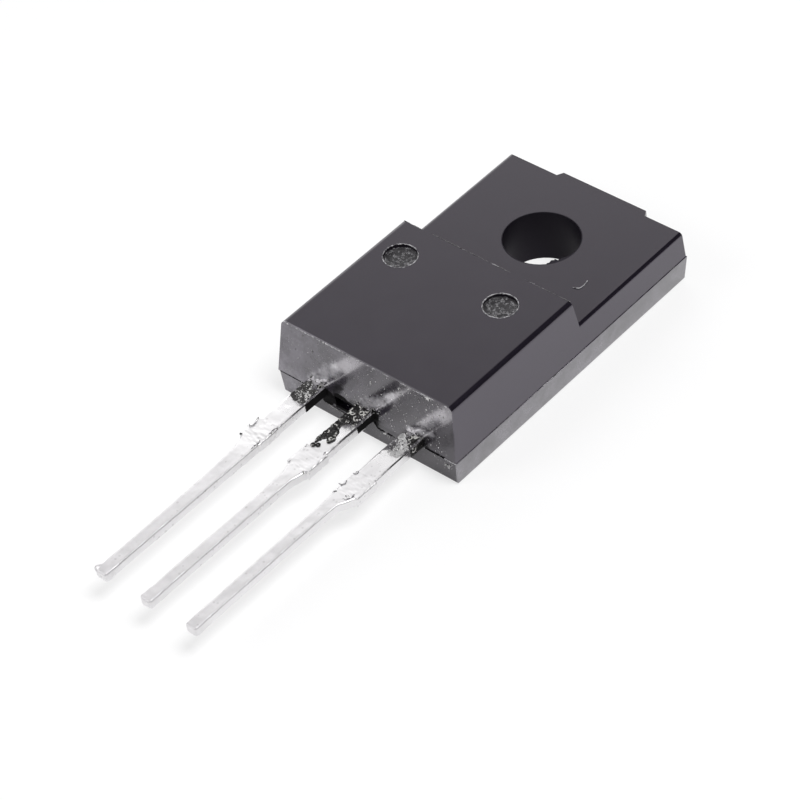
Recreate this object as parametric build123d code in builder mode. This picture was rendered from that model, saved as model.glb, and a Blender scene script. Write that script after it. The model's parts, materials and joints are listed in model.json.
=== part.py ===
"""Power transistor in a fully moulded, isolated three-lead package.

The part lies on its heat-sink face. Millimetres, +Z up, +Y towards the screw tab, leads towards -Y,
origin on the axis of the screw hole, in the plane of the heat-sink face.
"""
import os
from math import radians, tan

from build123d import *

# --- Moulded body -----------------------------------------------------------------------------------
body_width = 10.16  # across the parting plane
body_height = 4.2  # thick part
tab_height = 2.75
parting_height = 1.35  # where the two mould halves meet
thick_length = 8.55  # front face, in the parting plane, to the top edge of the step
tab_length = 7.9  # from there to the tab end, in the parting plane
hole_to_end = 4.0
hole_radius = 1.8
side_draft = 5.4  # degrees from the vertical, upper mould half
front_draft = 6.6
end_draft = 4.0
step_draft = 10.0
lower_draft = 4.0  # lower mould half, all round
mould_shift_x = 0.03  # how far the lower mould half sits out of line with the upper one
mould_shift_y = 0.05
thick_edge_radius = 0.26  # long upper edges of the thick part
tab_edge_radius = 0.19
bottom_edge_radius = 0.12

# --- Nose on the tab end, support-pin marks, webs between the leads -----------------------------------
nose_root_width = 5.7
nose_tip_width = 4.9
nose_length = 0.76
nose_height = 2.3
nose_draft = 3.0
pin_mark_radius = 0.8
pin_mark_depth = 0.25
pin_mark_to_front = 6.6
pin_mark_left_x = -3.3
pin_mark_right_x = 2.4
web_drop = 0.35  # how far the resin between two leads reaches below the parting plane
web_depth = 0.4  # behind the front face
web_corner_radius = 0.2
web_to_lead = 0.1
break_rise = 0.2  # the left web has broken out, up to this far above the parting plane

# --- Lead frame ---------------------------------------------------------------------------------------
lead_pitch = 2.54
lead_thickness = 0.45
lead_width = 0.56
wide_width = 1.0  # the stretch between the body and the dam bar
lead_length = 13.8  # outside the body
wide_length = 4.35
shoulder_length = 0.7
stub_to_front = 3.1  # what is left of the dam bar on each side of a lead
stub_length = 1.25
stub_projection = 0.1
lead_edge_radius = 0.06

pad_thickness = 1.2  # heavy gauge, flush with the top of the leads
pad_width = 8.2
pad_to_front = 2.6
pad_to_end = 0.75
pad_corner_radius = 0.5
pad_to_hole = 0.8  # resin between the screw hole and the pad

post_depth = 1.25  # bonding post at the inner end of each outer lead
post_to_front = 0.8
post_width = 2.75
post_to_centre_lead = 0.85
post_corner_radius = 0.2

# --- Chip, solder and bond wires ----------------------------------------------------------------------
die_width = 3.4
die_length = 4.2
die_thickness = 0.3
die_to_pad_edge = 0.5
solder_thickness = 0.05
solder_margin = 0.15

gate_wire_diameter = 0.15
gate_bond_inset = 0.5  # bond centre to the two nearest edges of the chip
source_wire_diameter = 0.4
source_bond_inset = 1.2
loop_height = 0.9  # corners of a wire loop above the chip
loop_corner = 4.0  # bend radius of a loop, in wire diameters
foot_length = 3.0  # bond feet, in wire diameters
foot_width = 1.4
foot_height = 0.6

# --- Levels and places that follow ----------------------------------------------------------------------
end_y = hole_to_end
step_top_y = end_y - tab_length
front_y = step_top_y - thick_length
lead_top = parting_height + lead_thickness
shoulder_y = front_y - wide_length
tip_y = front_y - lead_length
pad_front_y = front_y + pad_to_front
pad_back_y = end_y - pad_to_end
post_center_y = front_y + post_to_front + post_depth / 2
post_center_x = (wide_width + post_width) / 2 + post_to_centre_lead
die_center_y = pad_front_y + die_to_pad_edge + die_length / 2
die_top = lead_top + solder_thickness + die_thickness


def lean(draft, height):
    """How far a drafted face leans over a height."""
    return height * tan(radians(draft))


def level_rectangle(z, right, front, back, left=None):
    """A horizontal rectangle given by the places of its sides; it is symmetrical where left is left out."""
    left = -right if left is None else left
    with BuildSketch(Plane.XY.offset(z)) as section:
        with Locations(((left + right) / 2, (front + back) / 2)):
            Rectangle(right - left, back - front)
    return section.sketch


def upper_section(z, back):
    """Section of the upper mould half, whose sides and front lean in from the parting plane."""
    rise = z - parting_height
    right = body_width / 2 - lean(side_draft, rise)
    return level_rectangle(z, right, front_y + lean(front_draft, rise), back)


def lower_section(z):
    """Section of the lower mould half, which sits slightly out of line with the upper one."""
    inset = lean(lower_draft, parting_height - z)
    side = body_width / 2 - inset
    return level_rectangle(
        z,
        right=mould_shift_x + side,
        front=front_y + mould_shift_y + inset,
        back=end_y + mould_shift_y - inset,
        left=mould_shift_x - side,
    )


def lead_outline(side):
    """Outline of one lead outside the body: side is -1 for the left, 0 for the centre, 1 for the right."""
    center_x = side * lead_pitch
    narrow_left = center_x - lead_width / 2
    narrow_right = center_x + lead_width / 2
    spare = wide_width - lead_width
    wide_left = narrow_left - spare * (1 - side) / 2
    wide_right = narrow_right + spare * (1 + side) / 2
    with BuildSketch(Plane.XY.offset(parting_height)) as outline:
        with BuildLine():
            Polyline(
                (wide_left, pad_front_y if side == 0 else post_center_y),
                (wide_left, shoulder_y),
                (narrow_left, shoulder_y - shoulder_length),
                (narrow_left, tip_y),
                (narrow_right, tip_y),
                (narrow_right, shoulder_y - shoulder_length),
                (wide_right, shoulder_y),
                (wide_right, pad_front_y if side == 0 else post_center_y),
                close=True,
            )
        make_face()
        with Locations(((wide_left + wide_right) / 2, front_y - stub_to_front - stub_length / 2)):
            Rectangle(wide_width + 2 * stub_projection, stub_length)
    return outline.sketch


def soften(lead):
    """Round the edges that run along a lead outside the body."""
    edges = lead.edges().filter_by(Axis.Y)
    fillet(edges.filter_by(lambda edge: edge.center().Y < front_y), lead_edge_radius)


# --- Outer leads: gate on the left, source on the right, each with its bonding post ---------------------
def make_outer_lead(side):
    """One flat stamped lead with a wide inner end, buried in the resin, that carries a bond wire."""
    with BuildPart() as lead:
        extrude(lead_outline(side), amount=lead_thickness)
        with BuildSketch(Plane.XY.offset(parting_height)):
            with Locations((side * post_center_x, post_center_y)):
                RectangleRounded(post_width, post_depth, post_corner_radius)
        extrude(amount=lead_thickness)
        soften(lead)
    return lead


gate_lead = make_outer_lead(-1)
source_lead = make_outer_lead(1)

# --- Die pad: one stamping of two gauges, with the centre lead at the thin end --------------------------
with BuildPart() as die_pad:
    with BuildSketch(Plane.XY.offset(lead_top - pad_thickness)):
        with Locations((0, (pad_front_y + pad_back_y) / 2)):
            RectangleRounded(pad_width, pad_back_y - pad_front_y, pad_corner_radius)
        Circle(hole_radius + pad_to_hole, mode=Mode.SUBTRACT)
    extrude(amount=pad_thickness)
    extrude(lead_outline(0), amount=lead_thickness)
    soften(die_pad)

# --- Solder layer and chip --------------------------------------------------------------------------------
with BuildPart() as die_solder:
    with BuildSketch(Plane.XY.offset(lead_top)):
        with Locations((0, die_center_y)):
            Rectangle(die_width + 2 * solder_margin, die_length + 2 * solder_margin)
    extrude(amount=solder_thickness)

with BuildPart() as die:
    with BuildSketch(Plane.XY.offset(lead_top + solder_thickness)):
        with Locations((0, die_center_y)):
            Rectangle(die_width, die_length)
    extrude(amount=die_thickness)


# --- Bond wires: a flattened foot on the chip, a loop, and a flattened foot on the post -----------------
def make_bond_wire(diameter, start, end):
    """One wire from a bond centre on the chip to one on a post, drawn in its own upright plane."""
    across = Vector(*end) - Vector(*start)
    span = across.length
    drop = die_top - lead_top
    with BuildPart() as wire:
        upright = Plane(origin=(*start, die_top), x_dir=across, z_dir=across.cross(Vector(0, 0, 1)))
        with BuildLine(upright) as loop:
            FilletPolyline(
                (0, diameter / 2),
                (span / 3, loop_height),
                (span * 2 / 3, loop_height - drop / 2),
                (span, diameter / 2 - drop),
                radius=loop_corner * diameter,
            )
        with BuildSketch(Plane(origin=loop.line @ 0, z_dir=loop.line % 0)):
            Circle(diameter / 2)
        sweep(path=loop.line)
        for (x, y), z in ((start, die_top), (end, lead_top)):
            with BuildSketch(Plane(origin=(x, y, z), x_dir=across)):
                Rectangle(foot_length * diameter, foot_width * diameter)
            extrude(amount=foot_height * diameter)
    return wire


die_front_y = die_center_y - die_length / 2
gate_wire = make_bond_wire(
    gate_wire_diameter,
    start=(gate_bond_inset - die_width / 2, die_front_y + gate_bond_inset),
    end=(-post_center_x, post_center_y),
)
source_wire = make_bond_wire(
    source_wire_diameter,
    start=(die_width / 2 - source_bond_inset, die_front_y + source_bond_inset),
    end=(post_center_x, post_center_y),
)

# --- Moulded body: two drafted mould halves, cast round the frame ---------------------------------------
def web_outline(side, top):
    """Front view of the resin between the centre lead and an outer one, with round lower corners."""
    gap_center_x = side * (lead_pitch - lead_width / 2 + wide_width / 2) / 2
    gap_width = lead_pitch - (lead_width + wide_width) / 2
    bottom = parting_height - web_drop
    with BuildSketch(Plane.XZ.offset(-front_y)) as outline:
        with Locations((gap_center_x, (top + bottom) / 2)):
            Rectangle(gap_width - 2 * web_to_lead, top - bottom)
        fillet(outline.vertices().group_by(Axis.Y)[0], web_corner_radius)
    return outline.sketch


with BuildPart() as moulded_body:
    # Upper mould half: the screw tab over the whole length, then the thick part in front of the step.
    step_root_y = step_top_y + lean(step_draft, body_height - parting_height)
    tab_end_y = end_y - lean(end_draft, tab_height - parting_height)
    loft([upper_section(parting_height, end_y), upper_section(tab_height, tab_end_y)], ruled=True)
    loft([upper_section(parting_height, step_root_y), upper_section(body_height, step_top_y)], ruled=True)
    long_edges = moulded_body.edges().filter_by(Axis.Y)
    fillet(long_edges.filter_by_position(Axis.Z, body_height, body_height), thick_edge_radius)
    long_edges = moulded_body.edges().filter_by(Axis.Y)
    fillet(long_edges.filter_by_position(Axis.Z, tab_height, tab_height), tab_edge_radius)

    # Nose on the tab end, which spans both mould halves; its sloping sides run on into the tab.
    with BuildSketch():
        with BuildLine():
            Polyline(
                (-nose_root_width + nose_tip_width / 2, end_y - nose_length),
                (nose_root_width - nose_tip_width / 2, end_y - nose_length),
                (nose_tip_width / 2, end_y + nose_length),
                (-nose_tip_width / 2, end_y + nose_length),
                close=True,
            )
        make_face()
    extrude(amount=nose_height, taper=nose_draft)

    # Lower mould half, rounded where it meets the heat-sink face.
    loft([lower_section(0), lower_section(parting_height)], ruled=True)
    fillet(moulded_body.edges().group_by(Axis.Z)[0], bottom_edge_radius)

    # Screw hole, and the blind marks of the pins that held the frame in the mould.
    Hole(hole_radius)
    with Locations(
        (pin_mark_left_x, front_y + pin_mark_to_front, body_height),
        (pin_mark_right_x, front_y + pin_mark_to_front, body_height),
    ):
        Hole(pin_mark_radius, depth=pin_mark_depth)

    # Resin webs between the leads: the right one is whole, the left one has broken out.
    extrude(web_outline(1, parting_height), amount=-web_depth)
    extrude(web_outline(-1, parting_height + break_rise), amount=-web_depth, mode=Mode.SUBTRACT)

    # The frame, the chip and the wires lie in the resin with no gap.
    for insert in (gate_lead, source_lead, die_pad, die_solder, die, gate_wire, source_wire):
        add(insert.part, mode=Mode.SUBTRACT)

# --- One STEP file for each piece -----------------------------------------------------------------------
os.makedirs("parts", exist_ok=True)
pieces = {
    "moulded_body": moulded_body,
    "die_pad_centre_lead": die_pad,
    "gate_lead": gate_lead,
    "source_lead": source_lead,
    "die": die,
    "die_solder": die_solder,
    "gate_wire": gate_wire,
    "source_wire": source_wire,
}
for name, piece in pieces.items():
    piece.part.label = name
    export_step(piece.part, f"parts/{name}.step")
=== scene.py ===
# %% [markdown]
# # A power transistor, dressed for the camera
#
# The part is a black resin body moulded round a tinned copper lead frame. The CAD model already
# gives the exact solids; this lesson adds what a drawing leaves out: soft edges, moulding flash,
# rough pin marks, a wavy coat of tin on the leads, burnt flux where they were soldered, and dust.
# We work in metres, in the CAD model's own frame, and every new piece takes its place from it.

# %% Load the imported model
import json
from math import cos, exp, pi, radians, sin, tan

import bmesh
import bpy
import numpy as np
from mathutils import Matrix, Vector, noise
from mathutils.bvhtree import BVHTree

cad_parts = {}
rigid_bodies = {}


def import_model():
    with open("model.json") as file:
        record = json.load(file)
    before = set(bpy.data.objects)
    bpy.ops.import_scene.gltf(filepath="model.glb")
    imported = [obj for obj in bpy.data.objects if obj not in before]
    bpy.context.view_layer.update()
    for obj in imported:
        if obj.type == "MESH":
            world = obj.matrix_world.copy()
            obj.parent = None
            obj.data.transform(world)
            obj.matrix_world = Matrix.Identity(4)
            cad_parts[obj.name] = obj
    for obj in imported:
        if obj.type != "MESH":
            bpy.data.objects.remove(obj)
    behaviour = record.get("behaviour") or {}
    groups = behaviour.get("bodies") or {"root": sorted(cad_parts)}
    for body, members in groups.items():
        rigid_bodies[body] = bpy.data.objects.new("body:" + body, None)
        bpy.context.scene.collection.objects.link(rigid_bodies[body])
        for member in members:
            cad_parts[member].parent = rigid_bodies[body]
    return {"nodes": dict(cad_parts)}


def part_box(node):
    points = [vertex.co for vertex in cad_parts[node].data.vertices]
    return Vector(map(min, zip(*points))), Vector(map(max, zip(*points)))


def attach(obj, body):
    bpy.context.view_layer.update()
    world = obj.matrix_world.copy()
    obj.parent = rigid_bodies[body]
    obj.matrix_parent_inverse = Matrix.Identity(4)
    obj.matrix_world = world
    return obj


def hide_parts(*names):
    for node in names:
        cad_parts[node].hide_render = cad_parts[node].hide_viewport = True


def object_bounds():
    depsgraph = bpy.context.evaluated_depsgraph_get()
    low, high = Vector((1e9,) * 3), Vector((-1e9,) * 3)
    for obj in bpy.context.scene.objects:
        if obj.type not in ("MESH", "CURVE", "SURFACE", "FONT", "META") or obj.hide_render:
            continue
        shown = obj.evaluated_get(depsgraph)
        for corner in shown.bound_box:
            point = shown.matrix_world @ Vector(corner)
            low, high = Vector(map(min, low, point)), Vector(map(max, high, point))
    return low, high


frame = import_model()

cad_low, cad_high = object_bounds()
print("nodes:", sorted(frame["nodes"]))
print("CAD box in mm:", [round(v * 1000, 2) for v in (*cad_low, *cad_high)])

# %% [markdown]
# ## Sizes that follow from the frame
#
# A maker thinks of this part in tenths of a millimetre, so we keep a constant for a millimetre.
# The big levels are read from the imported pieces: the front of the body, the tips of the leads,
# the top and bottom of the lead frame. The small features repeat the drawing's own sizes.

# %% Levels and small sizes
MM = 0.001
body_low, body_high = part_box("moulded_body")
lead_low, lead_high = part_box("gate_lead")
front_y = body_low.y
body_top = body_high.z
parting = lead_low.z
lead_top = lead_high.z
tip_y = lead_low.y
tab_top = 2.75 * MM
tab_end_y = 4.0 * MM
step_top_y = -3.9 * MM
hole_radius = 1.8 * MM
side_draft = radians(5.4)
front_draft = radians(6.6)
lower_draft = radians(4.0)
mould_shift = Vector((0.03 * MM, 0.05 * MM, 0))
body_half = 5.08 * MM

pin_mark_radius = 0.8 * MM
pin_mark_depth = 0.25 * MM
pin_marks = [Vector((x * MM, front_y + 6.6 * MM, body_top)) for x in (-3.3, 2.4)]

lead_names = {-1: "gate_lead", 0: "centre_lead", 1: "source_lead"}
lead_pitch = 2.54 * MM
lead_length = front_y - tip_y
print("front of body:", round(front_y / MM, 3), "mm, lead length:", round(lead_length / MM, 3), "mm")

# %% [markdown]
# Nothing on a soldered part is quite regular, so three small formulas come back all the time: a
# soft step, smooth noise, and a sum of soft blobs that says where dirt has settled.

# %% Soft shapes
def front_surface_y(z):
    """Where the drafted front face of the body lies at a height."""
    if z >= parting:
        return front_y + (z - parting) * tan(front_draft)
    return front_y + mould_shift.y + (parting - z) * tan(lower_draft)


def smooth_step(low, high, value):
    """0 below low, 1 above high, with a soft change between."""
    t = min(1.0, max(0.0, (value - low) / (high - low)))
    return t * t * (3 - 2 * t)


def wobble(point, scale, seed=0.0):
    """Smooth noise from about -1 to 1; scale is the size of its bumps."""
    return noise.noise(Vector(point) / scale + Vector((seed, seed * 1.7, -seed)))


def blob_field(blobs, a, b):
    """Sum of soft blobs at a place; each has two coordinates, two half sizes and a strength."""
    return sum(k * exp(-(((a - ba) / la) ** 2) - ((b - bb) / lb) ** 2) for ba, bb, la, lb, k in blobs)


# %% [markdown]
# ## Helpers for objects
#
# A finished piece sits at the origin, unturned, with its place in its mesh. Modifiers are turned
# into plain mesh before the piece joins the frame.

# %% Object helpers
def make_object(name, vertices, faces, edges=()):
    """Link a new mesh object made from plain lists."""
    mesh = bpy.data.meshes.new(name)
    mesh.from_pydata([tuple(v) for v in vertices], list(edges), list(faces))
    mesh.validate()
    obj = bpy.data.objects.new(name, mesh)
    bpy.context.scene.collection.objects.link(obj)
    return obj


def settle(obj):
    """Replace an object's modifiers by the mesh they make."""
    bpy.context.view_layer.update()
    graph = bpy.context.evaluated_depsgraph_get()
    made = bpy.data.meshes.new_from_object(obj.evaluated_get(graph), depsgraph=graph)
    obj.modifiers.clear()
    obj.data = made
    made.name = obj.name
    return obj


def turn_faces_out(obj):
    """Point every face of a closed mesh outwards."""
    bm = bmesh.new()
    bm.from_mesh(obj.data)
    bmesh.ops.recalc_face_normals(bm, faces=bm.faces)
    bm.to_mesh(obj.data)
    bm.free()
    return obj


def shade(obj, angle):
    """Smooth shading, with edges sharper than the angle in degrees left crisp."""
    for polygon in obj.data.polygons:
        polygon.use_smooth = True
    obj.data.set_sharp_from_angle(angle=radians(angle))


def dress(obj, material):
    """Give a piece its finish and let it ride on the part's one body."""
    obj.data.materials.clear()
    obj.data.materials.append(material)
    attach(obj, "root")
    print(f"{obj.name}: {len(obj.data.polygons)} faces")


def closed_piece(name, vertices, faces, material, angle):
    """A closed piece made from plain lists, faceted where it has no angle."""
    obj = turn_faces_out(make_object(name, vertices, faces))
    if angle:
        shade(obj, angle)
    dress(obj, material)


# %% [markdown]
# ## Helpers for node trees
#
# Both shaders and Geometry Nodes are graphs. These few helpers add a node and feed its inputs, from
# other nodes or with plain values, so that each tree below reads like a recipe. A node that is
# handed on as a value stands for its first output.

# %% Node helpers
def feed(tree, inputs, feeds):
    """Feed some inputs, each from a socket, from a node's first output, or with a plain value."""
    for name, value in feeds.items():
        if isinstance(value, bpy.types.Node):
            value = value.outputs[0]
        if isinstance(value, bpy.types.NodeSocket):
            tree.links.new(value, inputs[name])
        else:
            inputs[name].default_value = value


def add(tree, kind, feeds=None, **settings):
    """Add a node; settings are its own options, and feeds go to its inputs."""
    node = tree.nodes.new(kind)
    for name, value in settings.items():
        setattr(node, name, value)
    feed(tree, node.inputs, feeds or {})
    return node


def new_group(name, kind, inputs, outputs):
    """A Shader or Geometry node group; each socket has a type or, where it is a number, a first value."""
    tree = bpy.data.node_groups.new(name, kind + "NodeTree")
    for in_out, sockets in (("INPUT", inputs), ("OUTPUT", outputs)):
        for socket_name, value in sockets.items():
            kind = value if isinstance(value, str) else type(value).__name__.title()
            item = tree.interface.new_socket(socket_name, in_out=in_out, socket_type="NodeSocket" + kind)
            if value != kind:
                item.default_value = value
    return tree, tree.nodes.new("NodeGroupInput").outputs, tree.nodes.new("NodeGroupOutput").inputs


def math_node(tree, operation, *values):
    """A Math node; its values are sockets or plain numbers."""
    return add(tree, "ShaderNodeMath", dict(enumerate(values)), operation=operation).outputs[0]


def vector_node(tree, operation, *values, **feeds):
    """A Vector Math node; it gives a number for a length, a distance or a dot product."""
    node = add(tree, "ShaderNodeVectorMath", {**dict(enumerate(values)), **feeds}, operation=operation)
    return node.outputs["Value" if operation in ("LENGTH", "DISTANCE", "DOT_PRODUCT") else "Vector"]


def total(tree, first, *others):
    """Add up sockets and plain numbers."""
    for other in others:
        first = math_node(tree, "ADD", first, other)
    return first


def product(tree, first, *others):
    """Multiply sockets and plain numbers."""
    for other in others:
        first = math_node(tree, "MULTIPLY", first, other)
    return first


def ramp(tree, value, low, high, to_low=0.0, to_high=1.0):
    """Map a value from one range to another, smoothly and clamped."""
    feeds = {"Value": value, "From Min": low, "From Max": high, "To Min": to_low, "To Max": to_high}
    return add(tree, "ShaderNodeMapRange", feeds, interpolation_type="SMOOTHSTEP").outputs["Result"]


def per_size(tree, size):
    """The scale of a pattern whose bumps are about one size across, in metres."""
    return 1 / size if isinstance(size, float) else math_node(tree, "DIVIDE", 1.0, size)


def noise_node(tree, vector, size, detail=3.0, roughness=0.5):
    """A noise pattern with bumps of about one size."""
    feeds = {"Vector": vector, "Scale": per_size(tree, size), "Detail": detail, "Roughness": roughness}
    return add(tree, "ShaderNodeTexNoise", feeds).outputs["Fac"]


def cell_node(tree, vector, size):
    """A pattern of random cells of about one size, as a node."""
    feeds = {"Vector": vector, "Scale": per_size(tree, size), "Randomness": 1.0}
    return add(tree, "ShaderNodeTexVoronoi", feeds)


def mix_colour(tree, factor, low, high):
    """Blend two colours; each is a tuple or a socket."""
    low, high = ((*c, 1.0) if isinstance(c, tuple) else c for c in (low, high))
    return add(tree, "ShaderNodeMix", {"Factor": factor, 6: low, 7: high}, data_type="RGBA").outputs[2]


def new_material(name, **settings):
    """A material with one Principled BSDF; settings go straight on its inputs."""
    material = bpy.data.materials.new(name)
    material.use_nodes = True
    tree = material.node_tree
    shader = tree.nodes["Principled BSDF"].inputs
    feed(tree, shader, {socket.replace("_", " "): value for socket, value in settings.items()})
    return material, tree, shader, add(tree, "ShaderNodeTexCoord").outputs["Object"]


def roughen(tree, shader, height, strength, distance):
    """Bump a finish by a pattern; distance is how high its bumps seem, in metres."""
    bump = add(tree, "ShaderNodeBump", {"Height": height, "Strength": strength, "Distance": distance})
    feed(tree, shader, {"Normal": bump})


# %% [markdown]
# ## Shared surface effects
#
# Three effects show up on more than one finish. *Grain* is the fine texture a spark-eroded mould, or
# dull tin, leaves on a surface: noise at two sizes, one for the tiny pits and one for slow cloudy
# changes. *Specks* are grains of dust or ash too small to model one by one. *Rings* are the pale
# rims of burst bubbles, a Voronoi pattern cut down to a thin band round each cell's middle; their
# paleness is in part painted highlight, for the glints along those rims.

# %% Grain, specks and rings
grain, given, out = new_group(
    "surface_grain",
    "Shader",
    {"Vector": "Vector", "Pit Size": 0.04 * MM, "Cloud Size": 0.8 * MM},
    {"Height": "Float", "Clouds": "Float"},
)
for size_name, detail, output in (("Pit Size", 4.0, "Height"), ("Cloud Size", 3.0, "Clouds")):
    feed(grain, out, {output: noise_node(grain, given["Vector"], given[size_name], detail, 0.55)})

specks, given, out = new_group(
    "fine_specks",
    "Shader",
    {"Vector": "Vector", "Speck Size": 0.05 * MM, "Coverage": 0.2},
    {"Mask": "Float"},
)
cells = cell_node(specks, given["Vector"], given["Speck Size"])
chooser = add(specks, "ShaderNodeSeparateColor", {"Color": cells.outputs["Color"]})
chosen = math_node(specks, "LESS_THAN", chooser.outputs["Red"], given["Coverage"])
core = ramp(specks, cells.outputs["Distance"], 0.28, 0.42, 1.0, 0.0)
feed(specks, out, {"Mask": product(specks, chosen, core)})

rings, given, out = new_group(
    "bubble_rings", "Shader", {"Vector": "Vector", "Ring Size": 0.14 * MM}, {"Mask": "Float"}
)
to_middle = cell_node(rings, given["Vector"], given["Ring Size"]).outputs["Distance"]
inside = ramp(rings, to_middle, 0.26, 0.38)
outside = ramp(rings, to_middle, 0.44, 0.58, 1.0, 0.0)
unbroken = ramp(rings, noise_node(rings, given["Vector"], 0.25 * MM, 2.0), 0.46, 0.58)
feed(rings, out, {"Mask": product(rings, inside, outside, unbroken)})
print("shared effects:", [group.name for group in (grain, specks, rings)])

# %% [markdown]
# A fourth effect is for the resin only, a *smear* along its front face: pale smears are painted
# reflections of the leads, dark ones soot and painted dark reflections. Vector maths finds the
# nearest place on a straight run, and the mask fades with the distance from it. Two noises tear its
# edge and thin it in patches, because a clean bar would look painted.

# %% Soft smears
smear, given, out = new_group(
    "soft_smear",
    "Shader",
    {"Vector": "Vector", "Start": "Vector", "Run": "Vector", "Reach": 0.3 * MM, "Strength": 1.0},
    {"Mask": "Float"},
)
from_start = vector_node(smear, "SUBTRACT", given["Vector"], given["Start"])
along_run = vector_node(smear, "DOT_PRODUCT", from_start, given["Run"])
run_square = vector_node(smear, "DOT_PRODUCT", given["Run"], given["Run"])
run_share = ramp(smear, math_node(smear, "DIVIDE", along_run, run_square), 0.0, 1.0)
nearest = vector_node(smear, "SCALE", given["Run"], Scale=run_share)
off_run = math_node(smear, "DIVIDE", vector_node(smear, "DISTANCE", from_start, nearest), given["Reach"])
rag = ramp(smear, noise_node(smear, given["Vector"], 0.32 * MM, 5.0, 0.65), 0.3, 0.7, -0.40, 0.40)
edge = ramp(smear, total(smear, off_run, rag), 0.2, 1.5, 1.0, 0.0)
patches = ramp(smear, noise_node(smear, given["Vector"], 0.55 * MM), 0.35, 0.55, 0.75, 1.0)
feed(smear, out, {"Mask": product(smear, edge, patches, given["Strength"])})
print("smear nodes:", len(smear.nodes))


def use_group(tree, group, vector, **values):
    """Place a shared effect in a material with that material's own values."""
    feeds = {name.replace("_", " "): value for name, value in values.items()}
    return add(tree, "ShaderNodeGroup", {"Vector": vector, **feeds}, node_tree=group).outputs


# %% [markdown]
# ## Moulding resin
#
# Epoxy moulding compound is nearly black and has a soft gloss. Its colour hardly varies; what
# the eye reads is how each face reflects its surroundings. So the work goes into roughness, a very
# fine bump, and masks for the places that differ. We first find out where on the body a point is:
# in which mould half, on the front, on a side, or in the screw hole.

# %% Resin: where a point lies
resin, tree, shader, place = new_material(
    "moulding_resin", IOR=1.5, Specular_Tint=(0.97, 0.90, 1.0, 1.0), Coat_Roughness=0.12, Coat_IOR=1.8
)
x, y, z = add(tree, "ShaderNodeSeparateXYZ", {"Vector": place}).outputs


def by_half(lower, upper):
    """One value below the parting line and another above it."""
    return ramp(tree, z, parting - 0.03 * MM, parting + 0.01 * MM, lower, upper)


lower_half = by_half(1.0, 0.0)
upper_half = math_node(tree, "SUBTRACT", 1.0, lower_half)
height = math_node(tree, "SUBTRACT", z, parting)
rise = math_node(tree, "MAXIMUM", height, 0.0)
drop = math_node(tree, "MAXIMUM", product(tree, height, -1.0), 0.0)
front_depth = total(
    tree,
    y,
    product(tree, rise, -tan(front_draft)),
    product(tree, drop, -tan(lower_draft)),
    product(tree, lower_half, -mould_shift.y),
)
near_front = ramp(tree, front_depth, front_y + 0.05 * MM, front_y + 0.09 * MM, 1.0, 0.0)
half_width = math_node(tree, "ABSOLUTE", x)
side_drafts = total(tree, product(tree, rise, tan(side_draft)), product(tree, drop, tan(lower_draft)))
side_reach = total(tree, half_width, side_drafts)
side_face = ramp(tree, side_reach, body_half - 0.08 * MM, body_half - 0.05 * MM)
flat_side = ramp(tree, side_reach, body_half - 0.02 * MM, body_half - 0.008 * MM)
hole_distance = vector_node(tree, "LENGTH", vector_node(tree, "MULTIPLY", place, (1.0, 1.0, 0.0)))
in_hole = ramp(tree, hole_distance, hole_radius + 0.02 * MM, hole_radius + 0.06 * MM, 1.0, 0.0)

# %% [markdown]
# Four kinds of marks lie on the resin. A thin grey sheen is painted on the front face, strongest on
# the left, for the brighter reflection there; the lower half of the sides is painted lighter, for the
# bright floor it reflects. Dust sits along the front. Pale smears on the front face are painted
# reflections of the leads, and dark smears are soot near the lead roots and painted dark reflections.

# %% Resin: painted sheen, dust and smears
# Each smear on the front face: place across and height of both its ends, its reach (mm), its strength.
# Dark smears: soot near the lead roots, and painted dark reflections of the leads' dark sides and of the
# shade beneath them.
soot_and_dark_reflection_smears = [
    (-2.30, 1.25, -0.60, 1.28, 0.45, 1.0),
    (-1.95, 1.45, -1.45, 2.25, 0.26, 0.9),
    (0.52, 1.72, 0.56, 1.32, 0.30, 1.0),
    (3.30, 1.75, 3.40, 1.50, 0.20, 0.8),
    (3.85, 2.05, 4.95, 2.60, 0.50, 0.34),
]
# Pale smears painted where the front face mirrors the bright tops of the leads; the last one is a painted
# sheen low on the left.
pale_reflection_smears = [
    (-2.90, 1.86, -1.75, 3.08, 0.33, 1.0),
    (-1.75, 3.05, -1.05, 3.65, 0.34, 0.1),
    (-0.05, 1.98, 0.90, 2.62, 0.28, 1.0),
    (0.90, 2.62, 1.60, 3.20, 0.22, 0.6),
    (2.45, 1.95, 3.70, 2.25, 0.17, 0.9),
    (3.40, 2.70, 4.30, 3.65, 0.28, 0.36),
    (-5.00, 0.45, -4.60, 0.95, 0.95, 0.26),
]


def front_smears(places):
    """The strongest of some soft smears on the front face."""
    mask = 0.0
    flat = vector_node(tree, "MULTIPLY", place, (1.0, 0.0, 1.0))
    for start_x, start_z, end_x, end_z, reach, strength in places:
        start = Vector((start_x, 0.0, start_z)) * MM
        run = Vector((end_x, 0.0, end_z)) * MM - start
        spot = use_group(tree, smear, flat, Start=start, Run=run, Reach=reach * MM, Strength=strength)
        mask = math_node(tree, "MAXIMUM", spot["Mask"], mask)
    return mask


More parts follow.
